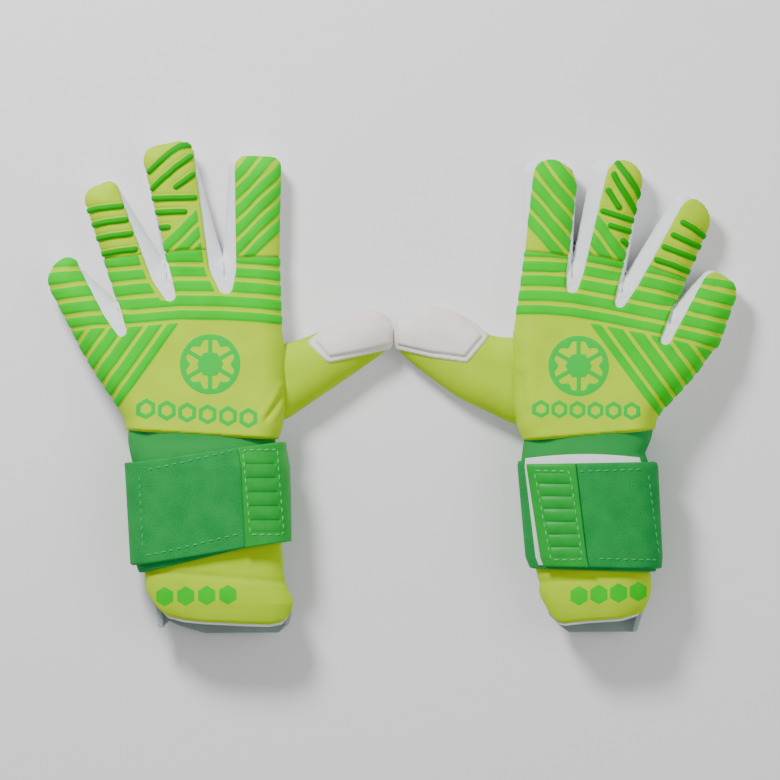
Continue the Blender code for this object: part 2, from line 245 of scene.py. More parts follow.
LEFT = Glove(
    side=1,
    fingers={
        "index": Finger(
            (-17.6, -16.3), (17.2, 14.2), (-9.0, -12.5), (16.6, 14.2), (6.0, 5.0), (4.2, 7.4), []
        ),
        "middle": Finger(
            (-14.6, -16.0), (17.8, 13.4), (-14.4, -16.0), (9.2, 13.4), (8.0, 8.0), (8.1, 9.3),
            [
                [(-16.0, 52.3), (8.0, 47.5)],
                [(-16.0, 43.8), (1.4, 40.5)],
                [(-16.0, 34.5), (-9.5, 33.4)],
                [(-13.0, 68.5), (-7.0, 72.7), (-0.1, 76.2), (6.5, 78.3), (11.0, 78.5)],
                [(-13.1, 58.1), (-6.6, 62.8), (1.8, 67.8), (10.2, 72.1)],
                [(-0.6, 56.1), (4.8, 58.6), (9.6, 61.3)],
            ],
        ),
        "ring": Finger(
            (-17.2, -12.6), (16.2, 8.6), (-17.0, -12.6), (6.6, 8.0), (7.0, 5.0), (6.7, 8.5),
            [
                [(-17.0, 57.6), (-6.1, 55.6), (5.0, 51.6)],
                [(-17.0, 48.6), (-4.9, 46.2), (4.6, 43.0)],
                [(-18.0, 40.2), (-5.9, 37.5), (4.2, 34.3)],
                [(-18.0, 30.4), (-4.9, 27.3), (3.5, 24.7)],
            ],
        ),
        "little": Finger(
            (-16.2, -13.0), (16.6, 7.6), (-16.0, -13.0), (4.9, 7.6), (12.5, 6.0), (99.0, 99.0), []
        ),
    },
    webs=[
        Web((8.2, 146.0), (10.4, 123.8), 4.2),
        Web((-27.0, 142.2), (-22.8, 119.2), 3.3),
        Web((-55.2, 119.0), (-51.8, 98.2), 3.0),
    ],
    creases=[([(43.5, 66.0), (39.2, 57.0), (34.2, 48.0), (30.6, 37.0)], 1.5, 1.3)],
    thumb_side=[(41.0, 37.4), (43.6, 44.0), (44.6, 56.0), (44.6, 90.0), (42.6, 103.0)],
    little_side=[(-77.0, 93.0), (-66.7, 76.0), (-54.5, 58.0), (-49.4, 48.0), (-48.6, 43.0)],
    arch=[
        (-100.0, -5.0), (-87.0, -4.0), (-47.0, -2.4), (-17.0, 0.0), (10.0, -0.4), (29.0, -1.5), (45.0, -3.2),
    ],
    bands=(141.4, 8.95),
    margin=3.2,
    little_top=99.0,
    index=Stripes(47.6, 7.45, 0.95, 77.4, 77.4, 121.0),
    index_margin=0.9,
    middle=Stripes(47.0, 7.6, 1.0, 110.5, -99.0, 125.0),
    edge=Stripes(54.8, 8.9, 1.15, -81.8, -999.0, -75.5),
    thumb=[
        (30.0, 50.0), (30.0, 90.0), (44.4, 93.5), (57.0, 97.0), (78.6, 107.0), (93.0, 113.6), (102.0, 112.8),
        (110.0, 106.0), (110.0, 92.5), (105.0, 88.5), (84.6, 74.2), (70.2, 64.4), (57.0, 55.4), (44.0, 46.5),
    ],
    patch=[
        (58.6, 94.8), (71.2, 82.0), (90.6, 86.2), (111.5, 91.2), (112.0, 107.0), (100.0, 116.0),
        (76.0, 108.0),
    ],
    wrist_u=0.5,
    wrist=[
        (-90.0, -32.0, 51.5, 20.0), (-70.0, -32.0, 51.5, 20.0), (-62.0, -34.0, 51.0, 20.5),
        (-54.0, -36.2, 46.8, 20.5), (-44.0, -38.4, 45.2, 20.5), (-38.0, -40.5, 44.8, 20.5),
        (20.0, -43.8, 41.2, 20.5), (30.0, -46.0, 39.0, 19.0), (36.0, -47.0, 38.4, 17.6),
        (50.0, -46.0, 38.0, 17.4),
    ],
    strap=Strap(
        (-48.0, 22.6), (45.0, 34.4), (49.0, -24.4), (-45.0, -38.4), 19.4, 24.0,
        band=(-33.2, 19.0), lean=10.3, hook=None, tab_in=2.0, flap_in=5.0, ridges=6,
    ),
    cuff_end=[
        (-1.0, -58.0), (-0.93, -65.5), (-0.85, -69.2), (-0.6, -71.6), (-0.3, -72.8), (0.3, -74.0),
        (0.67, -74.5), (0.87, -73.0), (0.96, -69.0), (1.0, -62.0),
    ],
    palm_end=[
        (-1.0, -76.5), (-0.95, -74.5), (-0.87, -72.6), (-0.7, -75.5), (-0.3, -80.2), (0.8, -79.8),
        (0.95, -75.0), (1.0, -68.0),
    ],
    emblem=[(-26.0, -57.5), (12.6, 0.4)],
    badge=((1.0, 81.0), (-37.0, 54.4), (12.2, -1.1), 5.4),
)
RIGHT = Glove(
    side=-1,
    fingers={
        "index": Finger(
            (-15.7, -16.2), (15.5, 15.8), (-12.7, -15.6), (13.4, 9.8), (14.0, 8.0), (2.6, 5.3), []
        ),
        "middle": Finger(
            (-14.2, -15.6), (15.9, 15.8), (-13.2, -15.2), (9.0, 6.6), (12.0, 9.0), (5.8, 5.8),
            [
                [(-17.0, 39.0), (4.2, 41.7)],
                [(-17.0, 32.2), (-1.4, 34.0)],
                [(-16.0, 22.8), (-9.8, 26.6)],
                [(-16.5, 51.4), (-11.2, 58.7), (-5.3, 65.0), (1.4, 70.6)],
                [(-16.5, 41.8), (-4.2, 56.6), (2.2, 64.0)],
                [(-4.2, 45.8), (3.6, 54.5)],
            ],
        ),
        "ring": Finger(
            (-17.4, -15.6), (15.8, 10.5), (-17.2, -15.6), (7.4, 4.2), (13.0, 7.0), (3.1, 7.8),
            [
                [(-18.0, 46.9), (-6.9, 49.2), (-1.0, 49.6)],
                [(-18.0, 40.8), (-7.3, 40.5), (0.8, 40.4)],
                [(-18.0, 33.4), (-7.1, 32.4), (2.6, 31.5)],
                [(-19.0, 24.6), (-5.9, 23.9), (3.6, 22.5)],
            ],
        ),
        "little": Finger(
            (-19.4, -14.0), (16.6, 9.6), (-19.2, -14.0), (6.8, 7.0), (10.0, 6.0), (99.0, 99.0), []
        ),
    },
    webs=[
        Web((9.3, 142.4), (9.5, 124.2), 3.4),
        Web((-22.4, 134.4), (-18.4, 115.4), 3.0),
        Web((-52.3, 118.2), (-45.4, 93.2), 3.0),
    ],
    creases=[([(40.0, 74.0), (38.4, 60.0), (34.5, 48.0), (33.6, 37.0)], 0.7, 2.4)],
    thumb_side=[(38.6, 36.8), (41.6, 44.0), (44.0, 57.0), (44.0, 99.0), (42.6, 108.0)],
    little_side=[(-71.5, 87.5), (-64.6, 77.2), (-50.2, 61.3), (-42.4, 53.5), (-40.0, 48.0), (-38.8, 43.0)],
    arch=[
        (-100.0, -22.5), (-73.0, -18.0), (-37.0, -10.2), (-7.0, -4.2), (10.0, -1.2), (25.0, 0.0), (45.0, 0.4),
    ],
    bands=(144.4, 8.95),
    margin=0.3,
    little_top=0.62,
    index=Stripes(52.0, 7.75, 0.95, 72.6, 72.6, 999.0),
    index_margin=0.0,
    middle=Stripes(56.0, 8.0, 1.0, 86.1, -99.0, 101.0),
    edge=Stripes(54.0, 8.9, 1.15, -68.6, -999.0, -62.6),
    thumb=[
        (30.0, 46.0), (30.0, 92.0), (43.6, 97.5), (49.0, 97.6), (58.8, 98.4), (69.6, 107.0), (82.8, 113.0),
        (97.2, 116.8), (115.8, 106.0), (115.8, 91.8), (106.8, 82.8), (88.8, 69.0), (76.8, 60.6), (58.8, 52.4),
        (44.0, 44.6),
    ],
    patch=[
        (59.2, 98.0), (72.4, 82.2), (94.8, 85.4), (117.0, 91.0), (118.0, 108.0), (97.0, 120.0), (76.0, 114.0),
    ],
    wrist_u=0.0,
    wrist=[
        (-90.0, -31.5, 23.0, 20.0), (-72.0, -33.0, 24.0, 20.0), (-62.0, -35.2, 26.4, 20.5),
        (-52.0, -36.8, 28.8, 20.5), (-42.0, -37.4, 31.2, 20.5), (-34.0, -38.0, 34.4, 20.5),
        (20.0, -35.4, 39.2, 20.5), (28.0, -32.6, 38.2, 19.0), (36.0, -36.0, 37.0, 17.6),
        (50.0, -39.0, 36.4, 17.4),
    ],
    strap=Strap(
        (-39.6, 23.0), (38.4, 21.8), (28.6, -39.4), (-44.6, -41.0), 9.0, 0.8,
        band=(-41.8, 22.5), lean=1.0, hook=Hook((32.5, -40.0), (41.0, 24.0), (-33.0, 26.0), (41.0, 25.0)),
        tab_in=2.9, flap_in=2.8, ridges=7,
    ),
    cuff_end=[
        (-1.0, -62.0), (-0.95, -68.0), (-0.55, -70.9), (0.2, -72.2), (0.7, -73.8), (0.86, -73.2),
        (0.95, -70.0), (1.0, -62.0),
    ],
    palm_end=[(-1.0, -72.0), (-0.95, -79.2), (0.6, -79.6), (0.8, -76.0), (1.0, -70.0)],
    emblem=[(-29.5, -54.5), (11.8, -0.8)],
    badge=((6.0, 80.0), (-25.5, 53.0), (10.8, 0.25), 4.8),
)

# Colours of the foam, as the shader's linear light
YELLOW = (0.44, 0.68, 0.0, 1.0)
YELLOW_PALE = (0.48, 0.73, 0.0, 1.0)
GREEN = (0.0, 0.58, 0.0, 1.0)
GREEN_PALE = (0.012, 0.65, 0.0, 1.0)
RIB = (0.0, 0.37, 0.0, 1.0)
BADGE = (0.0, 0.57, 0.035, 1.0)
# Painted shade: the dark green laid along the foam's seam grooves, standing in for the shade that falls in them
SEAM_SHADE = (0.02, 0.22, 0.0, 1.0)
# seam at FAR keeps the painted seam shade off these pieces
PLAIN_FOAM = {"green": -FAR, "rib": -FAR, "seam": FAR, "badge": -FAR}  # a foam piece's fields with no print


def smooth_step(x):
    x = np.clip(x, 0.0, 1.0)
    return x * x * (3.0 - 2.0 * x)


def dome(x):
    """0 at 0, rising steeply and levelling out at 1."""
    x = np.clip(x, 0.0, 1.0)
    return np.sqrt(np.maximum(0.0, 1.0 - (1.0 - x) ** 2))


def bell(x):
    """1 at 0, falling away on both sides."""
    return np.exp(-(x**2))


def across(way):
    """The direction to the right of a direction in the plan."""
    return np.array([way[1], -way[0]])


def distance_to_line(points, line):
    """How far each point is from a line of straight pieces."""
    best = np.full(len(points), 1e9)
    for start, end in zip(np.array(line[:-1], float), np.array(line[1:], float)):
        along = end - start
        share = np.clip((points - start) @ along / max(along @ along, 1e-9), 0.0, 1.0)
        best = np.minimum(best, np.linalg.norm(points - start - share[:, None] * along, axis=1))
    return best


def depth_in(points, outline):
    """How far each point is inside a closed outline, negative outside it."""
    closed = list(outline) + [outline[0]]
    inside = np.zeros(len(points), bool)
    for (ax, ay), (bx, by) in zip(closed[:-1], closed[1:]):
        if ay == by:
            continue
        spans = (points[:, 1] >= min(ay, by)) & (points[:, 1] < max(ay, by))
        inside ^= spans & (points[:, 0] < ax + (points[:, 1] - ay) * (bx - ax) / (by - ay))
    return np.where(inside, 1.0, -1.0) * distance_to_line(points, closed)


def depth_within(points, outline):
    """How far each point is inside a closed outline, 0 outside it."""
    return np.maximum(depth_in(points, outline), 0.0)


def softened(outline, reach, steps):
    """A closed outline with each corner turned into a curve that starts at most reach from it."""
    points = np.array(outline, float)
    curved = []
    for before, here, after in zip(np.roll(points, 1, 0), points, np.roll(points, -1, 0)):
        ends = []
        for other in (before, after):
            length = np.linalg.norm(other - here)
            ends.append(here + (other - here) * min(reach, length * 0.49) / max(length, 1e-9))
        for i in range(steps + 1):
            t = i / steps
            curved.append((1 - t) ** 2 * ends[0] + 2 * t * (1 - t) * here + t * t * ends[1])
    return [tuple(p) for p in curved]


def grid_cells(shape, flip=False):
    """The corners of each cell of a grid of points of that shape, the other way round if flipped."""
    index = np.arange(shape[0] * shape[1]).reshape(shape)
    cells = np.stack([index[:-1, :-1], index[1:, :-1], index[1:, 1:], index[:-1, 1:]], -1).reshape(-1, 4)
    return cells[:, [0, 3, 2, 1]] if flip else cells


def renumbered(faces, count):
    """The points that faces use, out of count, and the faces with those points' new numbers."""
    used = np.unique(np.concatenate([np.array(face) for face in faces]))
    number = np.full(count, -1)
    number[used] = np.arange(len(used))
    return used, [tuple(number[list(face)]) for face in faces]


def trimmed_grid(outline, step, within=None):
    """A sheet of squares cut to an outline, and to a second one: its points in the plan, and its faces."""
    corners = np.array(outline)
    xs = np.arange(corners[:, 0].min() - 2 * step, corners[:, 0].max() + 2 * step, step)
    ys = np.arange(corners[:, 1].min() - 2 * step, corners[:, 1].max() + 2 * step, step)
    shape = (len(xs), len(ys))
    grid = np.stack(np.meshgrid(xs, ys, indexing="ij"), -1).reshape(-1, 2)
    depth = depth_in(grid, outline)
    if within is not None:
        depth = np.minimum(depth, depth_in(grid, within))
    slope = np.stack(np.gradient(depth.reshape(shape), step), -1).reshape(-1, 2)
    near = np.abs(depth) < 0.35 * step
    grid[near] -= depth[near, None] * slope[near]
    depth[near] = 0.0
    points = list(grid)
    crossings = {}

    def crossing(a, b):
        key = (min(a, b), max(a, b))
        if key not in crossings:
            share = depth[a] / (depth[a] - depth[b])
            crossings[key] = len(points)
            points.append(grid[a] + (grid[b] - grid[a]) * share)
        return crossings[key]

    cells = grid_cells(shape)
    inside = depth[cells] >= 0
    faces = [tuple(cell) for cell in cells[inside.all(1)]]
    for cell in cells[inside.any(1) & ~inside.all(1)]:
        face = []
        for a, b in zip(cell, np.roll(cell, -1)):
            if depth[a] >= 0:
                face.append(int(a))
            if (depth[a] > 0 > depth[b]) or (depth[b] > 0 > depth[a]):
                face.append(crossing(int(a), int(b)))
        if len(face) >= 3:
            faces.append(tuple(face))
    used, faces = renumbered(faces, len(points))
    return np.array(points)[used], faces


def turned_over(faces):
    return [tuple(reversed(face)) for face in faces]


def surface_normals(points, faces):
    """A unit normal at each point of a surface, from the faces round it."""
    total = np.zeros_like(points)
    for size in {len(face) for face in faces}:
        some = np.array([face for face in faces if len(face) == size])
        corners = points[some]
        area = np.zeros((len(some), 3))
        for i in range(1, size - 1):
            area += np.cross(corners[:, i] - corners[:, 0], corners[:, i + 1] - corners[:, 0])
        for i in range(size):
            np.add.at(total, some[:, i], area)
    return total / np.maximum(np.linalg.norm(total, axis=1), 1e-12)[:, None]


def tube_faces(base, rings, sides):
    """The faces of a closed tube of rings of points, numbered from base."""
    faces = []
    for i in range(rings - 1):
        for k in range(sides):
            a, b = base + i * sides + k, base + i * sides + (k + 1) % sides
            faces.append((a, b, b + sides, a + sides))
    last = base + (rings - 1) * sides
    return faces + [tuple(range(base, base + sides))[::-1], tuple(range(last, last + sides))]


class Plan:
    """One glove's plan, tied to the frame's joints and boxes."""

    def __init__(self, name, glove, frame):
        self.name = name
        self.glove = glove
        joints = {joint["name"]: joint for joint in frame["joints"]}
        low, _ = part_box(f"{name}_hand_palm")
        wrist_low, wrist_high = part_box(f"{name}_cuff_lining")
        self.x0 = (wrist_low.x + wrist_high.x) / 2 / MM - glove.side * glove.wrist_u
        self.y0 = low.y / MM - WRIST_V
        self.roots = {}
        self.ways = {}
        self.middles = {}
        self.lengths = {}
        for finger in FINGERS:
            knuckle = joints[f"{name}_{finger}_knuckle"]
            middle = joints[f"{name}_{finger}_middle_joint"]
            root = self.plan_point(knuckle["pos_m"])
            way = np.array([glove.side * middle["axis"][1], -middle["axis"][0]])
            tip = frame["nodes"][f"{name}_{finger}_tip_palm"].data.vertices
            self.roots[finger] = root
            self.ways[finger] = way
            self.middles[finger] = float((self.plan_point(middle["pos_m"]) - root) @ way)
            self.lengths[finger] = float(max((self.plan_point(v.co) - root) @ way for v in tip))
        self.flap_hinge = joints[f"{name}_strap_opening"]["pos_m"]

    def plan_point(self, place):
        return np.array([self.glove.side * (place[0] / MM - self.x0), place[1] / MM - self.y0])

    def world(self, points):
        """Plan points (u, v, z) in millimetres to the scene's metres."""
        points = np.asarray(points, float)
        x = self.x0 + self.glove.side * points[:, 0]
        return np.stack([x, self.y0 + points[:, 1], points[:, 2]], -1) * MM

    def local(self, finger, points):
        """Plan points as (x, y) of a finger."""
        way = self.ways[finger]
        offset = points - self.roots[finger]
        return np.stack([offset @ across(way), offset @ way], -1)

    def from_local(self, finger, x, y):
        way = self.ways[finger]
        return tuple(self.roots[finger] + x * across(way) + y * way)

    def finger_end(self, finger, outer, inner, inset):
        """The rounded end of a finger, from its thumb side over the tip to its outer side."""
        rounding = self.glove.fingers[finger].rounding
        length = self.lengths[finger] - inset
        points = []
        for x, radius, side, turn in ((inner[1], rounding[1], 1, 0.0), (outer[1], rounding[0], -1, 90.0)):
            for i in range(7):
                angle = math.radians(turn + 15.0 * i)
                y = length - radius + radius * math.sin(angle)
                points.append(self.from_local(finger, x - side * radius + radius * math.cos(angle), y))
        return points

    def hand_outline(self, foam=False, drop=0.0):
        """The outline of hand and fingers, or of the foam on them, its wrist end carried down by drop."""
        glove = self.glove
        thumb_side, little_side = list(glove.thumb_side), list(glove.little_side)
        if drop:
            thumb_side.insert(0, (thumb_side[0][0], thumb_side[0][1] - drop))
            little_side.append((little_side[-1][0], little_side[-1][1] - drop))
        line = thumb_side
        for number, finger in enumerate(FINGERS):
            f = glove.fingers[finger]
            outer, inner = (f.foam_outer, f.foam_inner) if foam else (f.outer, f.inner)
            if foam or number == 0:
                line.append(self.from_local(finger, inner[0], FINGER_FROM_Y))
            line += self.finger_end(finger, outer, inner, FOAM_SHORT if foam else 0.0)
            if foam or number == len(glove.webs):
                line.append(self.from_local(finger, outer[0], FINGER_FROM_Y))
            if number < len(glove.webs):
                line += self.foam_notch(glove.webs[number]) if foam else [glove.webs[number].tip]
        return line + little_side

    def foam_notch(self, web):
        """The round end of the gap that the foam leaves between two fingers."""
        tip, bottom = np.array(web.tip), np.array(web.bottom)
        way = (tip - bottom) / np.linalg.norm(tip - bottom)
        centre = bottom + way * web.radius
        return [
            tuple(centre + web.radius * (math.cos(a) * across(way) + math.sin(a) * way))
            for a in np.radians(np.linspace(-10.0, -170.0, 7))
        ]


def placed(name, data):
    """A new object in the scene."""
    thing = bpy.data.objects.new(name, data)
    bpy.context.scene.collection.objects.link(thing)
    return thing


def make_piece(plan, name, points, faces, normals, fields, material):
    """A piece from points of the plan. fields are numbers for its material, at each point or all over."""
    full_name = f"{plan.name}_{name}"
    if plan.glove.side < 0:
        faces = turned_over(faces)
    corners = [tuple(p) for p in plan.world(points)]
    mesh = bpy.data.meshes.new(full_name)
    mesh.from_pydata(corners, [], [tuple(int(i) for i in face) for face in faces])
    mesh.materials.append(material)
    mesh.shade_smooth()
    for key, values in {"cloth": points, **fields}.items():
        if np.ndim(values) == 0:
            values = np.full(len(points), values)
        values = np.asarray(values, np.float32)
        kind, name_of_value = ("FLOAT_VECTOR", "vector") if values.ndim == 2 else ("FLOAT", "value")
        attribute = mesh.attributes.new(key, kind, "POINT")
        attribute.data.foreach_set(name_of_value, values.ravel())
    mesh.update()
    if normals is not None:
        turned = normals * np.array([plan.glove.side, 1.0, 1.0])
        mesh.normals_split_custom_set_from_vertices([tuple(n) for n in turned])
    return placed(full_name, mesh)


def seam_height(points):
    """The height at which back and palm meet."""
    return SIDE_SEAM + SEAM_RISE * np.maximum(0.0, LEVEL_FROM_V - points[:, 1])


def body_height(points, depth):
    """The height of the cloth on the back of hand and fingers."""
    seam = seam_height(points)
    top = BACK + BACK_RISE * np.maximum(0.0, LEVEL_FROM_V - points[:, 1])
    return seam + (top - seam) * dome(depth / BACK_ROUND)


def palm_height(points, depth):
    seam = seam_height(points)
    return seam - seam * dome(depth / PALM_ROUND)


def split_fingers(plan, points):
    """The finger each point belongs to, parted along the slits between them, and its place in that finger."""
    chosen = np.zeros(len(points), int)
    for number, web in enumerate(plan.glove.webs):
        offset = points - np.array(web.tip)
        below = np.array(web.tip) - np.array(web.bottom)
        above = plan.ways[FINGERS[number]] + plan.ways[FINGERS[number + 1]]
        way = np.where((offset @ above > 0)[:, None], above, below)
        chosen[way[:, 0] * offset[:, 1] - way[:, 1] * offset[:, 0] > 0] = number + 1
    local = np.zeros((len(points), 2))
    for number, finger in enumerate(FINGERS):
        mask = chosen == number
        local[mask] = plan.local(finger, points[mask])
    return chosen, local


def stripes_depth(points, stripes, turn=1.0):
    """The depth of each point in diagonal stripes. turn is -1 where places are counted backwards."""
    angle = math.radians(stripes.slope)
    place = points @ (turn * np.array([-math.sin(angle), math.cos(angle)]))
    lines = (place - stripes.start) / stripes.pitch
    from_line = np.abs(lines - np.round(lines)) * stripes.pitch
    return np.minimum.reduce([from_line - stripes.half, place - stripes.low, stripes.high - place])


def back_pattern(plan, points, foam_depth):
    """The depth of each point in the printed green and in the moulded ribs, and how near it is to a seam."""
    glove = plan.glove
    number, local = split_fingers(plan, points)
    x = local[:, 0]
    top, pitch = glove.bands
    row = (top + np.interp(points[:, 0], *zip(*glove.arch)) - points[:, 1]) / pitch
    fingers = [glove.fingers[finger] for finger in FINGERS]
    seam_ends = np.array([f.seam for f in fingers])[number]
    edges = np.array([(f.outer[0], f.inner[0]) for f in fingers])[number]
    share = np.clip((x - edges[:, 0]) / (edges[:, 1] - edges[:, 0]), 0.0, 1.0)
    above = -row * pitch - seam_ends[:, 0] - (seam_ends[:, 1] - seam_ends[:, 0]) * share
    web_bottom = np.array([glove.webs[max(n - 1, 0)].bottom[1] for n in range(len(FINGERS))])[number]
    edged = ((number == 1) | (number == 2)) & (x > 0.0) & (points[:, 1] > web_bottom)
    in_margin = np.where(edged, foam_depth - glove.margin, FAR)
    from_line = np.where(row < -0.5, FAR, np.abs(row - np.round(row)) * pitch)
    in_little = np.where(number == 3, (row + glove.little_top) * pitch, FAR)
    bands = np.minimum.reduce([
        from_line - BAND_LINE, (BANDS_END - row) * pitch, -above - BANDS_TO_SEAM, in_little, in_margin,
    ])
    edge = np.minimum(stripes_depth(points, glove.edge, turn=-1.0), (row - EDGE_STRIPES_FROM) * pitch)
    index = np.minimum.reduce([
        stripes_depth(points, glove.index), above - STRIPES_TO_SEAM, foam_depth - glove.index_margin,
    ])
    middle = np.minimum.reduce([stripes_depth(points, glove.middle), above - STRIPES_TO_SEAM, in_margin])
    green = np.maximum(bands, edge)
    green = np.where(number == 0, np.maximum(green, index), green)
    green = np.where(number == 1, np.maximum(green, middle), green)
    rib = np.full(len(points), -FAR)
    for number_of, finger in enumerate(fingers):
        mask = number == number_of
        for ridge in finger.ribs:
            rib[mask] = np.maximum(rib[mask], RIB_HALF - distance_to_line(local[mask], ridge))
    seam = np.where(number < 3, np.abs(above), FAR)
    return np.minimum(green, foam_depth - GREEN_TO_EDGE), np.minimum(rib, foam_depth - RIB_TO_EDGE), seam


def ball_badge(points, centre):
    """The depth of each point in a badge: a ring round a football's middle panel and its seams."""
    offset = points - np.array(centre)
    r = np.linalg.norm(offset, axis=1)
    sector = math.tau / 6
    fold = np.abs((np.arctan2(offset[:, 1], offset[:, 0]) + sector / 2) % sector - sector / 2)
    ring = RING_HALF - np.abs(r - BALL_RADIUS)
    hexagon = BALL_HEXAGON * BALL_RADIUS - r * np.cos(sector / 2 - fold)
    spoke = np.minimum(SPOKE_HALF - r * np.sin(sector / 2 - fold), BALL_RADIUS - r)
    spoke = np.where(r > 0.3 * BALL_RADIUS, spoke, -FAR)
    cap = BALL_CAP * BALL_RADIUS - np.abs(r - BALL_RADIUS * 1.02) - 0.8 * r * fold
    return np.maximum.reduce([ring, hexagon, spoke, np.minimum(cap, BALL_RADIUS - r)])


def hexagon_row(points, start, step, count, size, hole=0.0):
    """The depth of each point in a row of small hexagons, each with a hole that size."""
    best = np.full(len(points), -FAR)
    sector = math.tau / 6
    for i in range(count):
        offset = points - (np.array(start) + i * np.array(step))
        fold = (np.arctan2(offset[:, 1], offset[:, 0]) + sector / 2) % sector - sector / 2
        reach = np.linalg.norm(offset, axis=1) * np.cos(fold)
        best = np.maximum(best, np.minimum(size - reach, reach - hole))
    return best


def sections(plan, points, faces):
    """The piece each face belongs to: 0 for the hand, then a base and a tip for each finger."""
    centres = np.array([points[list(face)].mean(0) for face in faces])
    number, local = split_fingers(plan, centres)
    y = local[:, 1]
    label = np.zeros(len(faces), int)
    label[y > KNUCKLE_BEND[0]] = 1 + 2 * number[y > KNUCKLE_BEND[0]]
    label[y > PART_Y] = 2 + 2 * number[y > PART_Y]
    return label


def bend_over(plan, piece, finger, part):
    """Bakes a piece of a finger in place. The bodies and the ends of its bend, over the hand and the base or
    the base and the tip, are worked out but not used.
    """
    hand, base, tip = f"{plan.name}_glove", f"{plan.name}_{finger}_base", f"{plan.name}_{finger}_tip"
    joint = plan.middles[finger]
    if part == "base":
        bodies, ends = (hand, base), KNUCKLE_BEND
    else:
        bodies, ends = (base, tip), (max(joint - MIDDLE_BEND, PART_Y + 0.5), joint + MIDDLE_BEND)
    start, end = (plan.world([(*plan.from_local(finger, 0.0, y), 0.0)])[0] for y in ends)
    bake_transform(piece)


def add_hand_pieces(plan, layer, points, faces, fields, material, replaced=None):
    """Parts a layer of hand and fingers into pieces, attaches the hand's piece to the glove and bakes each
    finger's piece in place.
    """
    normals = surface_normals(points, faces)
    label = sections(plan, points[:, :2], faces)
    for number in range(1 + 2 * len(FINGERS)):
        chosen = [face for face, mark in zip(faces, label) if mark == number]
        if not chosen:
            continue
        used, chosen = renumbered(chosen, len(points))
        kept = {key: values[used] for key, values in fields.items()}
        finger = FINGERS[(number - 1) // 2]
        half = "base" if number % 2 else "tip"
        part = "hand" if number == 0 else f"{finger}_{half}"
        piece = make_piece(plan, f"{part}_{layer}", points[used], chosen, normals[used], kept, material)
        if number == 0:
            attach(piece, f"{plan.name}_glove")
        else:
            bend_over(plan, piece, finger, half)
        if replaced:
            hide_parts(f"{plan.name}_{part}_{replaced}")


def add_hand(plan, looks):
    """The cloth and palm of hand and fingers, and the foam on their backs."""
    outline = softened(plan.hand_outline(), 2.0, 3)
    section = softened(plan.hand_outline(drop=PAST_WRIST), 2.0, 3)
    points, faces = trimmed_grid(outline, CLOTH_STEP)
    depth = depth_within(points, section)
    upper = np.column_stack([points, body_height(points, depth) + tongue_creases(plan, points)])
    lower = np.column_stack([points, palm_height(points, depth)])
    # Painted shade: the gusset darkens along these seams
    seams = {"seam": tongue_seam(plan, points)}
    add_hand_pieces(plan, "gusset", upper, faces, seams, looks["gusset"])
    add_hand_pieces(plan, "palm_latex", lower, turned_over(faces), {}, looks["palm"], "palm")
    add_webs(plan, section, looks)
    add_wrist_end(plan, section, looks)
    add_foam(plan, section, looks)


def tongue_seam(plan, points):
    """How far each point is from the seams that run from the crotches down the white tongues, where the gusset
    is darkened with painted shade.
    """
    away = np.full(len(points), FAR)
    for web in plan.glove.webs:
        tip, bottom = np.array(web.tip), np.array(web.bottom)
        middle = tip + (bottom - tip) * 0.3 + np.array([0.5, 0.0])
        end = tip + (bottom - tip) * 0.52
        away = np.minimum(away, distance_to_line(points, [tip + (tip - bottom) * 0.1, middle, end]))
    return away


def tongue_creases(plan, points):
    """The seam down the middle of each white tongue, and the creases beside it."""
    relief = np.zeros(len(points))
    for web in plan.glove.webs:
        tip, bottom = np.array(web.tip), np.array(web.bottom)
        length = np.linalg.norm(tip - bottom)
        along = (points - bottom) @ (tip - bottom) / length
        aside = (points - bottom) @ across(tip - bottom) / length
        near = bell(aside / web.radius) * smooth_step(along / 4.0) * smooth_step((length + 3.0 - along) / 5.0)
        relief += near * TONGUE_CREASE * np.sin(along + aside * TONGUE_SLANT)
    return relief - TONGUE_SEAM[0] * bell(tongue_seam(plan, points) / TONGUE_SEAM[1])


def wave(points, along_u, along_v, start=0.0):
    """A slanting wave over the plan. along_u and along_v are how slowly it turns along each."""
    return np.sin(points[:, 0] / along_u + points[:, 1] / along_v + start)


def soft_unevenness(plan, points):
    """The slight waves and the folds of a back that is sewn over soft padding."""
    waves = 0.20 * wave(points, 6.1, 9.7, plan.glove.side) + 0.22 * wave(points, 10.3, -6.9)
    waves += 0.12 * wave(points, 3.7, -14.0) * wave(points, 17.0, 4.9)
    for line, depth, width in plan.glove.creases:
        away = distance_to_line(points, line) / width
        waves += 0.5 * depth * np.exp(-((away - 2.4) ** 2) / 2) - depth * bell(away)
    return waves * smooth_step((points[:, 1] - WRIST_V - 3.0) / 9.0)


def add_foam(plan, section, looks):
    """The foam back, raised over the cloth, with its bands, ribs, seams and badge."""
    foam_line = softened(plan.hand_outline(foam=True, drop=FOAM_DROP), 1.5, 3)
    points, faces = trimmed_grid(foam_line, FOAM_STEP)
    depth, foam_depth = depth_within(points, section), depth_within(points, foam_line)
    green, rib, seam = back_pattern(plan, points, foam_depth)
    ball, first, step, size = plan.glove.badge
    row = hexagon_row(points, first, step, HEXAGONS, size, HEXAGON_HOLE * size)
    badge = np.maximum(ball_badge(points, ball), row)
    sink = FOAM_SINK * smooth_step(depth / FOAM_EDGE)
    swell = BAND_SWELL[0] * dome(green / BAND_SWELL[1]) + RIB_SWELL[0] * dome(rib / RIB_SWELL[1])
    trench = RIB_TRENCH[0] * bell(rib / RIB_TRENCH[1]) + SEAM_TRENCH[0] * bell(seam / SEAM_TRENCH[1])
    raised = FOAM * dome(foam_depth / FOAM_EDGE) - sink + swell - trench
    raised += BADGE_RISE[0] * smooth_step(badge / BADGE_RISE[1])
    raised += soft_unevenness(plan, points) * smooth_step(foam_depth / 4.0)
    base = np.column_stack([points, body_height(points, depth)])
    over = base + surface_normals(base, faces) * raised[:, None]
    fields = {"green": green, "rib": rib, "seam": seam, "badge": badge}
    add_hand_pieces(plan, "back_foam", over, faces, fields, looks["foam"], "back")


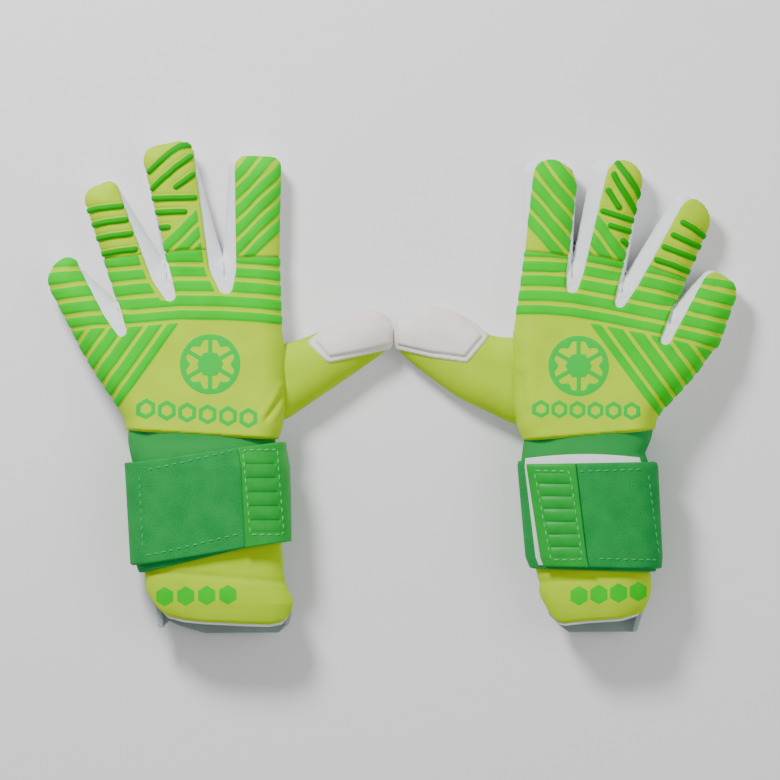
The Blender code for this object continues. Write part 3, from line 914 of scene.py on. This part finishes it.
def cloth_sheet(plan, name, points, faces, order, material):
    """A sheet of cloth. order says which of u, v and z its weave runs along."""
    # seam at FAR keeps painted seam shade off these sheets
    fields = {"cloth": points[:, order], "seam": FAR}
    return make_piece(plan, name, points, faces, surface_normals(points, faces), fields, material)


def add_webs(plan, section, looks):
    """The cloth walls down both sides of each gap between fingers, which show as the fingers bend apart."""
    shape = (31, 13)
    t, s = np.meshgrid(np.linspace(0, 1, shape[0]), np.linspace(0, 1, shape[1]), indexing="ij")
    t, s = t.ravel()[:, None], s.ravel()
    cells = grid_cells(shape, flip=True)
    for number, web in enumerate(plan.glove.webs):
        tip, bottom = np.array(web.tip), np.array(web.bottom)
        aside = across(tip - bottom) / np.linalg.norm(tip - bottom)
        for finger, side in ((FINGERS[number], 1), (FINGERS[number + 1], -1)):
            places = bottom + (tip - bottom) * t + aside * side * WEB_APART
            depth = depth_within(places, section)
            top, low = body_height(places, depth), palm_height(places, depth)
            inset = np.minimum(WEB_INSET, 0.25 * (top - low))
            points = np.column_stack([places, top - inset - (top - low - 2 * inset) * s])
            faces = [tuple(cell[::side]) for cell in cells]
            name = f"web_{number + 1}_{finger}"
            piece = cloth_sheet(plan, name, points, faces, [1, 2, 0], looks["gusset"])
            modifier = piece.modifiers.new("thickness", "SOLIDIFY")
            modifier.thickness = WEB_THICK * MM
            modifier.offset = 0.0
            bend_over(plan, piece, finger, "base")


def add_wrist_end(plan, section, looks):
    """The cloth that closes the end of the hand round the elastic of the wrist."""
    first, last = np.array(plan.glove.thumb_side[0]), np.array(plan.glove.little_side[-1])
    shape = (61, 9)
    shares = (1 - np.cos(np.linspace(0, np.pi, shape[0]))) / 2  # close together near the corners
    s, t = np.meshgrid(shares, np.linspace(0, 1, shape[1]), indexing="ij")
    s, t = s.ravel(), t.ravel()
    line = first + (last - first) * s[:, None]
    depth = depth_within(line, section)
    low, high = palm_height(line, depth), body_height(line, depth)
    points = np.column_stack([line[:, 0], line[:, 1] + 0.3 - np.sin(np.pi * t), low + (high - low) * t])
    faces = [tuple(cell) for cell in grid_cells(shape, flip=True)]
    piece = cloth_sheet(plan, "wrist_end", points, faces, [0, 2, 1], looks["gusset"])
    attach(piece, f"{plan.name}_glove")


def thumb_back(points, outline):
    """The back of the thumb, with that outline, over points of the plan."""
    top = THUMB_TOP - THUMB_FALL * smooth_step((points[:, 0] - THUMB_FALL_FROM) / THUMB_FALL_OVER)
    rise = dome(depth_within(points, outline) / THUMB_ROUND)
    return np.column_stack([points, THUMB_SEAM + (top - THUMB_SEAM) * rise])


def thumb_wrap(points, faces, outline, edge):
    """The latex wrapped over the thumb, with a raised middle in a groove. edge is its own outline."""
    depth = depth_in(points, edge)
    base = thumb_back(points, outline)
    pad = WRAP_PAD[0] * dome((depth - WRAP_PAD[1]) / WRAP_PAD[2])
    groove = WRAP_GROOVE[0] * bell((depth - WRAP_GROOVE[1]) / WRAP_GROOVE[2])
    raised = WRAP_EDGE[0] * dome(depth / WRAP_EDGE[1]) - WRAP_SINK + (pad - groove)
    return base + surface_normals(base, faces) * raised[:, None]


def add_thumb(plan, looks):
    """The thumb, which comes out from under the edge of the hand, its palm, and the latex wrapped over it."""
    outline = softened(plan.glove.thumb, 7.0, 5)
    points, faces = trimmed_grid(outline, THUMB_STEP)
    back = thumb_back(points, outline)
    fall = THUMB_SEAM * dome(depth_within(points, outline) / THUMB_PALM_ROUND)
    palm = np.column_stack([points, THUMB_SEAM - fall])
    patch_line = softened(plan.glove.patch, 2.0, 3)
    patch, patch_faces = trimmed_grid(patch_line, WRAP_STEP, within=outline)
    wrapped = thumb_wrap(patch, patch_faces, outline, patch_line)
    start, end = (tuple(plan.world([(u, THUMB_V, 0.0)])[0]) for u in THUMB_BEND)
    for name, node, surface, sheet, fields, look, slot in (
        ("thumb_back_foam", "thumb_back", back, faces, PLAIN_FOAM, "foam", "yellow_foam"),
        ("thumb_palm_latex", "thumb_palm", palm, turned_over(faces), {}, "palm", "white_latex"),
        ("thumb_wrap_latex", "thumb_wrap", wrapped, patch_faces, {}, "latex", "white_latex"),
    ):
        piece = make_piece(plan, name, surface, sheet, surface_normals(surface, sheet), fields, looks[look])
        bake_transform(piece)
        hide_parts(f"{plan.name}_{node}")


class Wrist:
    """The wrist's section at each v. Angles run evenly round it, from 0 at the thumb's side over the back."""

    def __init__(self, plan):
        self.plan = plan
        self.rows = np.array(sorted(plan.glove.wrist))
        _, half, half_height = self.section(0.0)
        turn = np.linspace(0.0, 90.0, 2001)
        corner = np.stack([half * self.power_of(np.cos, turn), half_height * self.power_of(np.sin, turn)], -1)
        run = np.concatenate([[0.0], np.cumsum(np.linalg.norm(np.diff(corner, axis=0), axis=1))])
        self.turn, self.run = turn, 90.0 * run / run[-1]

    def power_of(self, function, turn):
        value = function(np.radians(turn))
        return np.sign(value) * np.abs(value) ** (2 / WRIST_POWER)

    def turned(self, degrees):
        """The angle of the oval itself at an even angle."""
        quarter, rest = np.divmod(np.asarray(degrees, float), 90.0)
        odd = quarter % 2 == 1
        found = np.interp(np.where(odd, 90.0 - rest, rest), self.run, self.turn)
        return 90.0 * quarter + np.where(odd, 90.0 - found, found)

    def share(self, degrees):
        """How far across the wrist an angle is, from -1 to 1 at the thumb's side."""
        return self.power_of(np.cos, self.turned(degrees))

    def section(self, v):
        """The middle of the wrist at v, and half its width and height."""
        low, high, half_height = (np.interp(v, self.rows[:, 0], self.rows[:, k]) for k in (1, 2, 3))
        return (low + high) / 2, (high - low) / 2, half_height

    def angle_at(self, u, v, offset):
        """The angle on the back of the wrist that is seen at u from above."""
        middle, half, _ = self.section(v)
        share = np.clip((u - middle) / (half + offset), -1.0, 1.0)
        turn = np.degrees(np.arccos(np.sign(share) * np.abs(share) ** (WRIST_POWER / 2)))
        found = np.interp(np.minimum(turn, 180.0 - turn), self.turn, self.run)
        return np.where(turn > 90.0, 180.0 - found, found)

    def angles_at(self, corners, offset):
        return tuple(float(self.angle_at(u, v, offset)) for u, v in corners)

    def place(self, degrees, v, offset):
        """Points (u, v, z) at angles round the wrist, pushed out by offset."""
        turn = self.turned(degrees)
        middle, half, half_height = self.section(v)
        u = half * self.power_of(np.cos, turn)
        z = half_height * self.power_of(np.sin, turn)
        steep = WRIST_POWER - 1
        out = np.sign(u) * np.abs(u / half) ** steep / half
        up = np.sign(z) * np.abs(z / half_height) ** steep / half_height
        length = np.maximum(np.hypot(out, up), 1e-9)
        return np.stack([middle + u + out / length * offset, v, WRIST_HEIGHT + z + up / length * offset], -1)


def spread(count, edge):
    """Shares from 0 to 1, close together near both ends."""
    ends = [0.0, edge * 0.12, edge * 0.35, edge * 0.65, edge]
    middle = np.linspace(edge, 1 - edge, count)[1:-1]
    return np.array(ends + list(middle) + [1 - e for e in reversed(ends)])


def wrap(wrist, name, ends, low, high, layer, material, counts, edge=1.0, relief=None, fields=None):
    """A layer of cloth round the wrist between two ends, each (angle at the low edge, angle at the high one).

    low and high give v along its two edges from the angle. A layer that goes all the way round is closed.
    """
    offset, thickness = layer
    start, stop = ends
    closed = stop[0] - start[0] >= 360.0
    width = abs(stop[0] - start[0]) * WRIST_ROUND / 360
    height = abs(high(np.array(90.0)) - low(np.array(90.0)))
    shares = np.linspace(0, 1, counts[0]) if closed else spread(counts[0], min(0.2, edge / width))
    round_it, up_it = np.meshgrid(shares, spread(counts[1], min(0.2, edge / height)), indexing="ij")
    first = start[0] + (start[1] - start[0]) * up_it
    last = stop[0] + (stop[1] - stop[0]) * up_it
    angle = first + (last - first) * round_it
    v = low(angle) + (high(angle) - low(angle)) * up_it
    depth = np.minimum(up_it, 1 - up_it) * height
    if not closed:
        depth = np.minimum(depth, np.minimum(round_it, 1 - round_it) * width)
    rise = thickness * (0.35 + 0.65 * dome(depth / edge))
    if relief is not None:
        rise = rise + relief(angle, v, depth)
    outer = wrist.place(angle.ravel(), v.ravel(), (offset + rise).ravel())
    inner = wrist.place(angle.ravel(), v.ravel(), np.full(v.size, offset))
    points = np.concatenate([outer, inner])
    cells = grid_cells(v.shape)
    faces = [tuple(cell) for cell in cells] + [tuple(cell[::-1] + v.size) for cell in cells]
    index = np.arange(v.size).reshape(v.shape)
    rim = [index[:, 0], index[::-1, -1]]
    if not closed:
        rim += [index[-1, :], index[0, ::-1]]
    for line in rim:
        faces += [(b, a, a + v.size, b + v.size) for a, b in zip(line[:-1], line[1:])]
    middle = v.size // 2 + v.shape[1] // 2
    if surface_normals(points, faces)[middle] @ (outer[middle] - inner[middle]) < 0:
        faces = turned_over(faces)
    cloth = np.stack([angle.ravel() * WRIST_ROUND / 360, v.ravel(), np.zeros(v.size)], -1)
    kept = {"cloth": np.concatenate([cloth, cloth])}
    for key, value in (fields or {}).items():
        kept[key] = value(points) if callable(value) else value
    piece = make_piece(wrist.plan, name, points, faces, None, kept, material)
    piece.data.set_sharp_from_angle(angle=math.radians(55.0))
    return piece


def slanted(wrist, v, lean=0.0):
    """An edge of a wrist layer at v in its middle, and higher by lean at the thumb's side."""
    return lambda angle: v + lean * wrist.share(angle)


def shaped_end(wrist, line):
    """An edge of a wrist layer through points (share of the wrist's half-width, v)."""
    return lambda angle: np.interp(wrist.share(angle), *zip(*line))


def strap_edge(wrist, start, stop, bow=0.0):
    """An edge of the strap, straight from one (u, v) to another as seen from above, or bowed."""
    middle, half, _ = wrist.section(0.0)

    def edge(angle):
        u = middle + (half + FLAP[0] + FLAP[1]) * wrist.share(angle)
        share = np.clip((u - start[0]) / (stop[0] - start[0]), -0.1, 1.1)
        return start[1] + (stop[1] - start[1]) * share + bow * 4 * share * (1 - share)

    return edge


def moved(edge, by):
    """An edge of a wrist layer, moved along the wrist."""
    return lambda angle: edge(angle) + by


def stitches(wrist, name, line, offset, material):
    """Dashes of thread along a line of (u, v) points on the back of a layer of the wrist."""
    steps = np.arange(60)[:, None]
    corners = np.array(line)
    dense = [a + (b - a) * steps / len(steps) for a, b in zip(corners[:-1], corners[1:])]
    dense = np.concatenate(dense + [corners[-1:]])
    angles = wrist.angle_at(dense[:, 0], dense[:, 1], offset)
    path = wrist.place(angles, dense[:, 1], offset)
    path_up = wrist.place(angles, dense[:, 1], offset + 1.0) - path
    run = np.concatenate([[0], np.cumsum(np.linalg.norm(np.diff(path, axis=0), axis=1))])

    def along_run(values, at):
        return np.array([np.interp(at, run, values[:, k]) for k in range(3)])

    points, faces = [], []
    rings, sides = 5, 6
    start = STITCH_GAP / 2
    while start + STITCH < run[-1]:
        first = along_run(path, start)
        along = along_run(path, start + STITCH) - first
        side = np.cross(along_run(path_up, start + STITCH / 2), along)
        side /= np.linalg.norm(side)
        up = np.cross(along, side)
        up /= np.linalg.norm(up)
        faces += tube_faces(len(points), rings, sides)
        for t in np.linspace(0, 1, rings):
            r = THREAD * (0.35 + 0.65 * math.sin(math.pi * t))
            sink = -0.1 + 0.3 * math.sin(math.pi * t)
            for a in math.tau * np.arange(sides) / sides:
                points.append(first + along * t + side * r * 1.25 * math.cos(a) + up * (r * math.sin(a) + sink))
        start += STITCH + STITCH_GAP
    return make_piece(wrist.plan, name, np.array(points), faces, None, {}, material)


def tube(plan, name, path, radius, material):
    """A round cord of trim along a line of plan points."""
    along = np.gradient(path, axis=0)
    along /= np.linalg.norm(along, axis=1)[:, None]
    side = np.cross(along, np.array([0.0, 1.0, 0.0]))
    side /= np.linalg.norm(side, axis=1)[:, None]
    up = np.cross(side, along)
    sides = 8
    turns = math.tau * np.arange(sides) / sides
    lines = [path + radius * (math.cos(a) * side + math.sin(a) * up) for a in turns]
    points = np.stack(lines, 1).reshape(-1, 3)
    return make_piece(plan, name, points, tube_faces(0, len(path), sides), None, {}, material)


def cuff_puff(angle, v, depth):
    """How the padded cuff swells below the strap, creases, and draws in at its end."""
    swell = 1.3 * bell((v + 57.0) / 11.0)
    crease = -0.7 * bell((v + 45.5 - 0.05 * (angle - 90.0)) / 2.2)
    ripple = 0.25 * np.sin(angle / 9.0 + v / 7.0) * np.sin(angle / 23.0 - v / 5.0)
    return swell + crease + ripple - 2.2 * (1 - dome(depth / 7.0))


def add_cuff(plan, wrist, looks):
    """The wrist's elastic, the padded cuff and its piping, and the lining inside."""
    back_end, palm_end = shaped_end(wrist, plan.glove.cuff_end), shaped_end(wrist, plan.glove.palm_end)
    top = slanted(wrist, CUFF_TOP_V)

    def emblem(points):
        row = hexagon_row(points[:, :2], *plan.glove.emblem, CUFF_HEXAGONS, CUFF_HEXAGON)
        return np.where(points[:, 2] > WRIST_HEIGHT, row, -FAR)

    cuff = wrap(
        wrist, "cuff_back_foam", ((0.0, 0.0), (180.0, 180.0)), back_end, top, CUFF, looks["foam"], (190, 190),
        edge=2.0, relief=cuff_puff, fields={**PLAIN_FOAM, "green": emblem},
    )
    palm = wrap(
        wrist, "cuff_palm_latex", ((181.0, 181.0), (359.0, 359.0)), palm_end, top, CUFF_PALM, looks["lining"],
        (110, 40), edge=1.5,
    )
    lining_end = slanted(wrist, LINING_END_V)
    lining = wrap(
        wrist, "cuff_lining_cloth", WHOLE_ROUND, lining_end, top, LINING, looks["lining"], (120, 30)
    )
    bandage_low, bandage_high = slanted(wrist, BANDAGE_LOW_V), slanted(wrist, BANDAGE_HIGH_V)
    bandage = wrap(
        wrist, "wrist_bandage_elastic", WHOLE_ROUND, bandage_low, bandage_high, BANDAGE, looks["elastic"],
        (160, 40),
    )
    angles = np.linspace(1.0, 179.0, 140)
    path = wrist.place(angles, back_end(angles) - 0.3, PIPING_OFFSET)
    piping = tube(plan, "cuff_piping", path, PIPING, looks["trim"])
    for piece, node, slot in (
        (cuff, "cuff_back", "yellow_foam"),
        (palm, "cuff_palm", "grey_lining"),
        (lining, "cuff_lining", "grey_lining"),
        (bandage, "wrist_bandage", "green_elastic"),
        (piping, "cuff_binding", "white_trim"),
    ):
        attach(piece, f"{plan.name}_glove")
        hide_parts(f"{plan.name}_{node}")


def tab_ridges(wrist, box, count):
    """Rows of soft ridges across the pull tab, inside its stitched box of (u, v) corners."""
    (_, high), (_, low) = box[1], box[2]
    pitch = (high - low) / count

    def relief(angle, v, depth):
        middle, half, _ = wrist.section(v)
        u = middle + (half + TAB[0] + TAB[1]) * wrist.share(angle)
        inside = depth_in(np.stack([u.ravel(), v.ravel()], -1), box).reshape(u.shape)
        row = np.abs(np.sin(np.pi * (v - low) / pitch))
        return smooth_step((inside - 0.7) / 0.8) * (1.1 * np.sqrt(row) - 0.9)

    return relief


def tab_box(strap):
    """The corners of the stitched box on the pull tab."""
    return [
        (strap.inner_high[0] - strap.tab_in, strap.inner_high[1] - TAB_BOX_END),
        (strap.tab_high + TAB_BOX_SIDE, strap.inner_high[1] - TAB_BOX_CORNER),
        (strap.tab_low + TAB_BOX_SIDE, strap.inner_low[1] + TAB_BOX_CORNER),
        (strap.inner_low[0] - strap.tab_in, strap.inner_low[1] + TAB_BOX_END),
    ]


def flap_seams(strap):
    """The lines of stitching along the flap's upper edge, its end and its lower edge."""
    high = (strap.outer_high[0] + strap.flap_in, strap.outer_high[1] - FLAP_SEAM_HIGH)
    low = (strap.outer_low[0] + strap.flap_in - 0.6, strap.outer_low[1] + FLAP_SEAM_LOW)
    return [
        [(strap.tab_high - 1.5, strap.inner_high[1] - FLAP_SEAM_HIGH), (high[0] + 3.0, high[1])],
        [(high[0], high[1] - 3.0), (low[0], low[1] + 2.5)],
        [(low[0] + 1.0, low[1]), (strap.tab_low - 1.5, strap.inner_low[1] + FLAP_SEAM_LOW_END)],
    ]


def add_hook_patch(wrist, strap, end, low, high, material):
    """The patch under the flap, tucked inside the flap's end and edges or showing past them."""
    if strap.hook is None:
        end = tuple(angle + 1.0 for angle in end)
        low, high = moved(low, HOOK_TUCK), moved(high, -HOOK_TUCK)
    else:
        end = wrist.angles_at((strap.hook.end_low, strap.hook.end_high), FLAP[0] + FLAP[1])
        low = moved(low, HOOK_SHOW)
        high = strap_edge(wrist, strap.hook.edge_start, strap.hook.edge_stop, HOOK_BOW)
    ends = (end, (HOOK_START, HOOK_START))
    return wrap(wrist, "hook_patch_cloth", ends, low, high, HOOK, material, (90, 30), edge=0.8)


def add_strap(plan, wrist, looks):
    """The strap: a band round the wrist, and a flap with its pull tab and hook patch. The tab, the patch and
    the stitches go with the strap's flap body; the flap's own cloth is baked in place.
    """
    strap = plan.glove.strap
    low = strap_edge(wrist, strap.outer_low, strap.inner_low)
    high = strap_edge(wrist, strap.outer_high, strap.inner_high)
    over_flap, over_tab = FLAP[0] + FLAP[1], TAB[0] + TAB[1]
    end = wrist.angles_at((strap.inner_low, strap.inner_high), over_flap)
    flap_ends = (end, (FLAP_FOLD, FLAP_FOLD))
    flap = wrap(wrist, "strap_flap_cloth", flap_ends, low, high, FLAP, looks["strap"], (120, 50), edge=1.2)
    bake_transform(flap)
    band_low, band_high = (slanted(wrist, v, strap.lean) for v in strap.band)
    band = wrap(
        wrist, "strap_band_cloth", WHOLE_ROUND, band_low, band_high, BAND, looks["strap"], (160, 30)
    )
    hook = add_hook_patch(wrist, strap, end, low, high, looks["trim"])
    tab_corners = ((strap.tab_low, strap.inner_low[1]), (strap.tab_high, strap.inner_high[1]))
    tab_ends = (end, wrist.angles_at(tab_corners, over_flap))
    box = tab_box(strap)
    tab = wrap(
        wrist, "pull_tab_rubber", tab_ends, low, high, TAB, looks["rubber"], (90, 260),
        relief=tab_ridges(wrist, box, strap.ridges),
    )
    threads = [
        stitches(wrist, f"strap_stitches_{number + 1}", line, over_flap, looks["thread"])
        for number, line in enumerate(flap_seams(strap))
    ]
    threads.append(stitches(wrist, "tab_stitches", box + [box[0]], over_tab, looks["pale_thread"]))
    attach(band, f"{plan.name}_glove")
    for piece in [hook, tab] + threads:
        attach(piece, f"{plan.name}_strap_flap")
    for piece, node, slot in (
        (flap, "strap_flap", "green_elastic"),
        (band, "strap_band", "green_elastic"),
        (hook, "hook_patch", "white_trim"),
        (tab, "pull_tab", "green_rubber"),
    ):
        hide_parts(f"{plan.name}_{node}")


class Look:
    """A material being made, with a short way to add each kind of node that feeds its shader."""

    def __init__(self, name, specular):
        self.material = bpy.data.materials.new(name)
        self.material.use_nodes = True
        self.nodes = self.material.node_tree.nodes
        self.shader = self.nodes["Principled BSDF"]
        self.shader.inputs["Specular IOR Level"].default_value = specular
        self.cloth = self.field("cloth", "Vector")

    def feed(self, socket, value):
        """Links a socket to another, or sets it to a number or a colour."""
        if hasattr(value, "links"):
            self.material.node_tree.links.new(value, socket)
        else:
            socket.default_value = value

    def node(self, kind, inputs, **settings):
        """A new node with those settings, and its inputs fed."""
        node = self.nodes.new(f"ShaderNode{kind}")
        for name, value in settings.items():
            setattr(node, name, value)
        for name, value in inputs.items():
            self.feed(node.inputs[name], value)
        return node

    def field(self, name, output="Fac"):
        """A number or vector kept at each point of the piece."""
        return self.node("Attribute", {}, attribute_name=name).outputs[output]

    def noise(self, scale, detail):
        inputs = {"Scale": scale, "Detail": detail, "Vector": self.cloth}
        return self.node("TexNoise", inputs).outputs["Fac"]

    def threads(self, axis, pitch):
        """Threads side by side along an axis of the cloth."""
        inputs = {"Scale": pitch, "Distortion": 0.6, "Detail": 1.0, "Vector": self.cloth}
        return self.node("TexWave", inputs, bands_direction=axis).outputs["Fac"]

    def mixed(self, factor, first, second):
        """A colour between two."""
        node = self.node("Mix", {"Factor": factor}, data_type="RGBA")
        for name, value in (("A", first), ("B", second)):
            self.feed(next(s for s in node.inputs if s.name == name and s.type == "RGBA"), value)
        return next(s for s in node.outputs if s.type == "RGBA")

    def ramp(self, source, low, high):
        """0 where source is under low, 1 where it is over high."""
        inputs = {"Value": source, "From Min": low, "From Max": high}
        return self.node("MapRange", inputs, interpolation_type="SMOOTHSTEP").outputs["Result"]

    def between(self, source, low, high):
        """low where source is 0, high where it is 1."""
        return self.node("MapRange", {"Value": source, "To Min": low, "To Max": high}).outputs["Result"]

    def maths(self, operation, first, second):
        node = self.node("Math", {}, operation=operation)
        for socket, value in zip(node.inputs, (first, second)):
            self.feed(socket, value)
        return node.outputs[0]

    def finish(self, colour, grain, roughness, height, strength, distance):
        """Gives the shader its colour, a roughness between two by the grain, and bumps from a height."""
        inputs = {"Strength": strength, "Distance": distance * MM, "Height": height}
        bump = self.node("Bump", inputs).outputs["Normal"]
        surface = {"Base Color": colour, "Roughness": self.between(grain, *roughness), "Normal": bump}
        for name, value in surface.items():
            self.feed(self.shader.inputs[name], value)
        return self.material


def foam_look():
    """Neon foam, printed green in its bands and ribs, with painted shade along its seams' grooves."""
    look = Look("foam", specular=0.12)
    grain = look.noise(1.6, 4.0)
    soft = look.ramp(look.noise(0.05, 2.0), 0.3, 0.7)
    colour = look.mixed(soft, YELLOW, YELLOW_PALE)
    band = look.mixed(soft, GREEN, GREEN_PALE)
    for key, low, high, paint in (
        ("green", -0.25, 0.3, band),
        ("rib", -0.15, 0.4, RIB),
        ("badge", -0.15, 0.15, BADGE),
    ):
        colour = look.mixed(look.ramp(look.field(key), low, high), colour, paint)
    # Painted shade: along the seams' grooves the foam turns up to 0.7 of the way to the painted seam shade's
    # dark green
    painted_seam_shade = look.maths("SUBTRACT", 1.0, look.ramp(look.field("seam"), 0.2, 0.9))
    colour = look.mixed(look.maths("MULTIPLY", painted_seam_shade, 0.7), colour, SEAM_SHADE)
    return look.finish(colour, grain, (0.62, 0.82), grain, strength=0.2, distance=0.3)


def cloth_look(name, first, second, pitch, strength, ribbed=False, seam=None, fleck_scale=2.2):
    """Woven or knitted cloth: threads at that pitch, a fleck of a second colour, and painted shade along its
    seams in the colour given as seam.
    """
    look = Look(name, specular=0.25)
    weave = look.threads("X", pitch)
    if not ribbed:
        weave = look.maths("MULTIPLY", weave, look.threads("Y", pitch))
    fleck = look.noise(fleck_scale, 3.0)
    tone = look.maths("ADD", fleck, look.maths("MULTIPLY", look.noise(0.06, 2.0), 0.4))
    colour = look.mixed(look.ramp(tone, 0.45, 0.95), first, second)
    # Painted shade: the cloth turns towards the colour given as seam along its seams
    if seam:
        colour = look.mixed(look.ramp(look.field("seam"), 0.15, 0.75), seam, colour)
    return look.finish(colour, fleck, (0.77, 0.93), weave, strength, distance=0.25)


def plain_look(name, first, second, roughness, grain_scale, strength):
    """Latex, rubber or thread: one colour, slightly clouded, with a fine grain."""
    look = Look(name, specular=0.3)
    grain = look.noise(grain_scale, 4.0)
    colour = look.mixed(look.ramp(look.noise(0.12, 3.0), 0.3, 0.7), first, second)
    return look.finish(colour, grain, (roughness - 0.1, roughness + 0.1), grain, strength, distance=0.3)


def make_looks():
    return {
        "foam": foam_look(),
        # The gusset's grey seam colour is painted shade down the white tongues
        "gusset": cloth_look(
            "gusset", (0.86, 0.87, 0.95, 1), (0.93, 0.94, 0.99, 1), 0.9, 0.25, seam=(0.25, 0.27, 0.28, 1)
        ),
        "palm": plain_look("palm_latex", (0.80, 0.79, 0.84, 1), (0.86, 0.85, 0.88, 1), 0.72, 1.3, 0.25),
        "latex": plain_look("thumb_latex", (0.88, 0.79, 0.74, 1), (0.94, 0.87, 0.83, 1), 0.7, 1.3, 0.2),
        "elastic": cloth_look(
            "elastic", (0.012, 0.30, 0.050, 1), (0.020, 0.35, 0.062, 1), 0.5, 0.4, ribbed=True
        ),
        "strap": cloth_look(
            "strap_cloth", (0.001, 0.225, 0.036, 1), (0.014, 0.36, 0.064, 1), 0.8, 0.3, fleck_scale=1.5
        ),
        "rubber": plain_look("tab_rubber", (0.0, 0.33, 0.024, 1), (0.0, 0.37, 0.028, 1), 0.45, 0.9, 0.08),
        "lining": cloth_look("lining", (0.32, 0.40, 0.40, 1), (0.40, 0.49, 0.48, 1), 0.7, 0.4, ribbed=True),
        "trim": cloth_look("trim", (0.72, 0.80, 0.78, 1), (0.84, 0.90, 0.86, 1), 0.9, 0.3),
        "thread": plain_look("thread", (0.03, 0.40, 0.085, 1), (0.05, 0.47, 0.12, 1), 0.6, 3.0, 0.3),
        "pale_thread": plain_look(
            "pale_thread", (0.05, 0.56, 0.12, 1), (0.08, 0.64, 0.16, 1), 0.6, 3.0, 0.3
        ),
    }


def add_light(name, place, target, size, power):
    light = bpy.data.lights.new(name, "AREA")
    light.shape = "DISK"
    light.size = size
    light.energy = power
    lamp = placed(name, light)
    lamp.location = place
    lamp.rotation_mode = "QUATERNION"
    lamp.rotation_quaternion = (Vector(target) - Vector(place)).to_track_quat("-Z", "Y")


def add_floor(level, reach):
    corners = [(-reach, -reach), (reach, -reach), (reach, reach), (-reach, reach)]
    mesh = bpy.data.meshes.new("studio_floor")
    mesh.from_pydata([(x, y, level) for x, y in corners], [], [(0, 1, 2, 3)])
    material = bpy.data.materials.new("studio_floor")
    material.use_nodes = True
    shader = material.node_tree.nodes["Principled BSDF"]
    shader.inputs["Base Color"].default_value = (0.95, 0.95, 0.95, 1.0)
    shader.inputs["Roughness"].default_value = 0.9
    mesh.materials.append(material)
    placed("studio_floor", mesh)


def add_camera(view_width):
    """A camera that looks straight down, from so far that heights hardly show."""
    camera = bpy.data.cameras.new("camera")
    camera.lens = 400.0
    camera.sensor_width = 36.0
    camera.clip_start = 0.05
    camera.clip_end = 20.0
    eye = placed("camera", camera)
    eye.location = (-0.0005, -0.0014, 0.02 + view_width * camera.lens / camera.sensor_width)
    bpy.context.scene.camera = eye


def add_studio(cad_box):
    """A pale floor, soft light from above, and the camera."""
    low, high = cad_box
    centre = (low + high) / 2
    add_floor(low.z - 0.0005, 3.0)
    world = bpy.data.worlds.new("studio")
    world.use_nodes = True
    world.node_tree.nodes["Background"].inputs["Color"].default_value = (1.0, 1.0, 1.0, 1.0)
    world.node_tree.nodes["Background"].inputs["Strength"].default_value = 0.45
    bpy.context.scene.world = world
    add_light("key", (-0.5, 0.85, 0.95), centre, size=0.35, power=20.0)
    add_light("fill", (0.8, 0.1, 1.1), centre, size=0.8, power=4.0)
    add_camera(0.468)


def main():
    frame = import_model()
    cad_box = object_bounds()
    looks = make_looks()
    for name, glove in (("left", LEFT), ("right", RIGHT)):
        plan = Plan(name, glove, frame)
        add_hand(plan, looks)
        add_thumb(plan, looks)
        wrist = Wrist(plan)
        add_cuff(plan, wrist, looks)
        add_strap(plan, wrist, looks)
    add_studio(cad_box)


main()
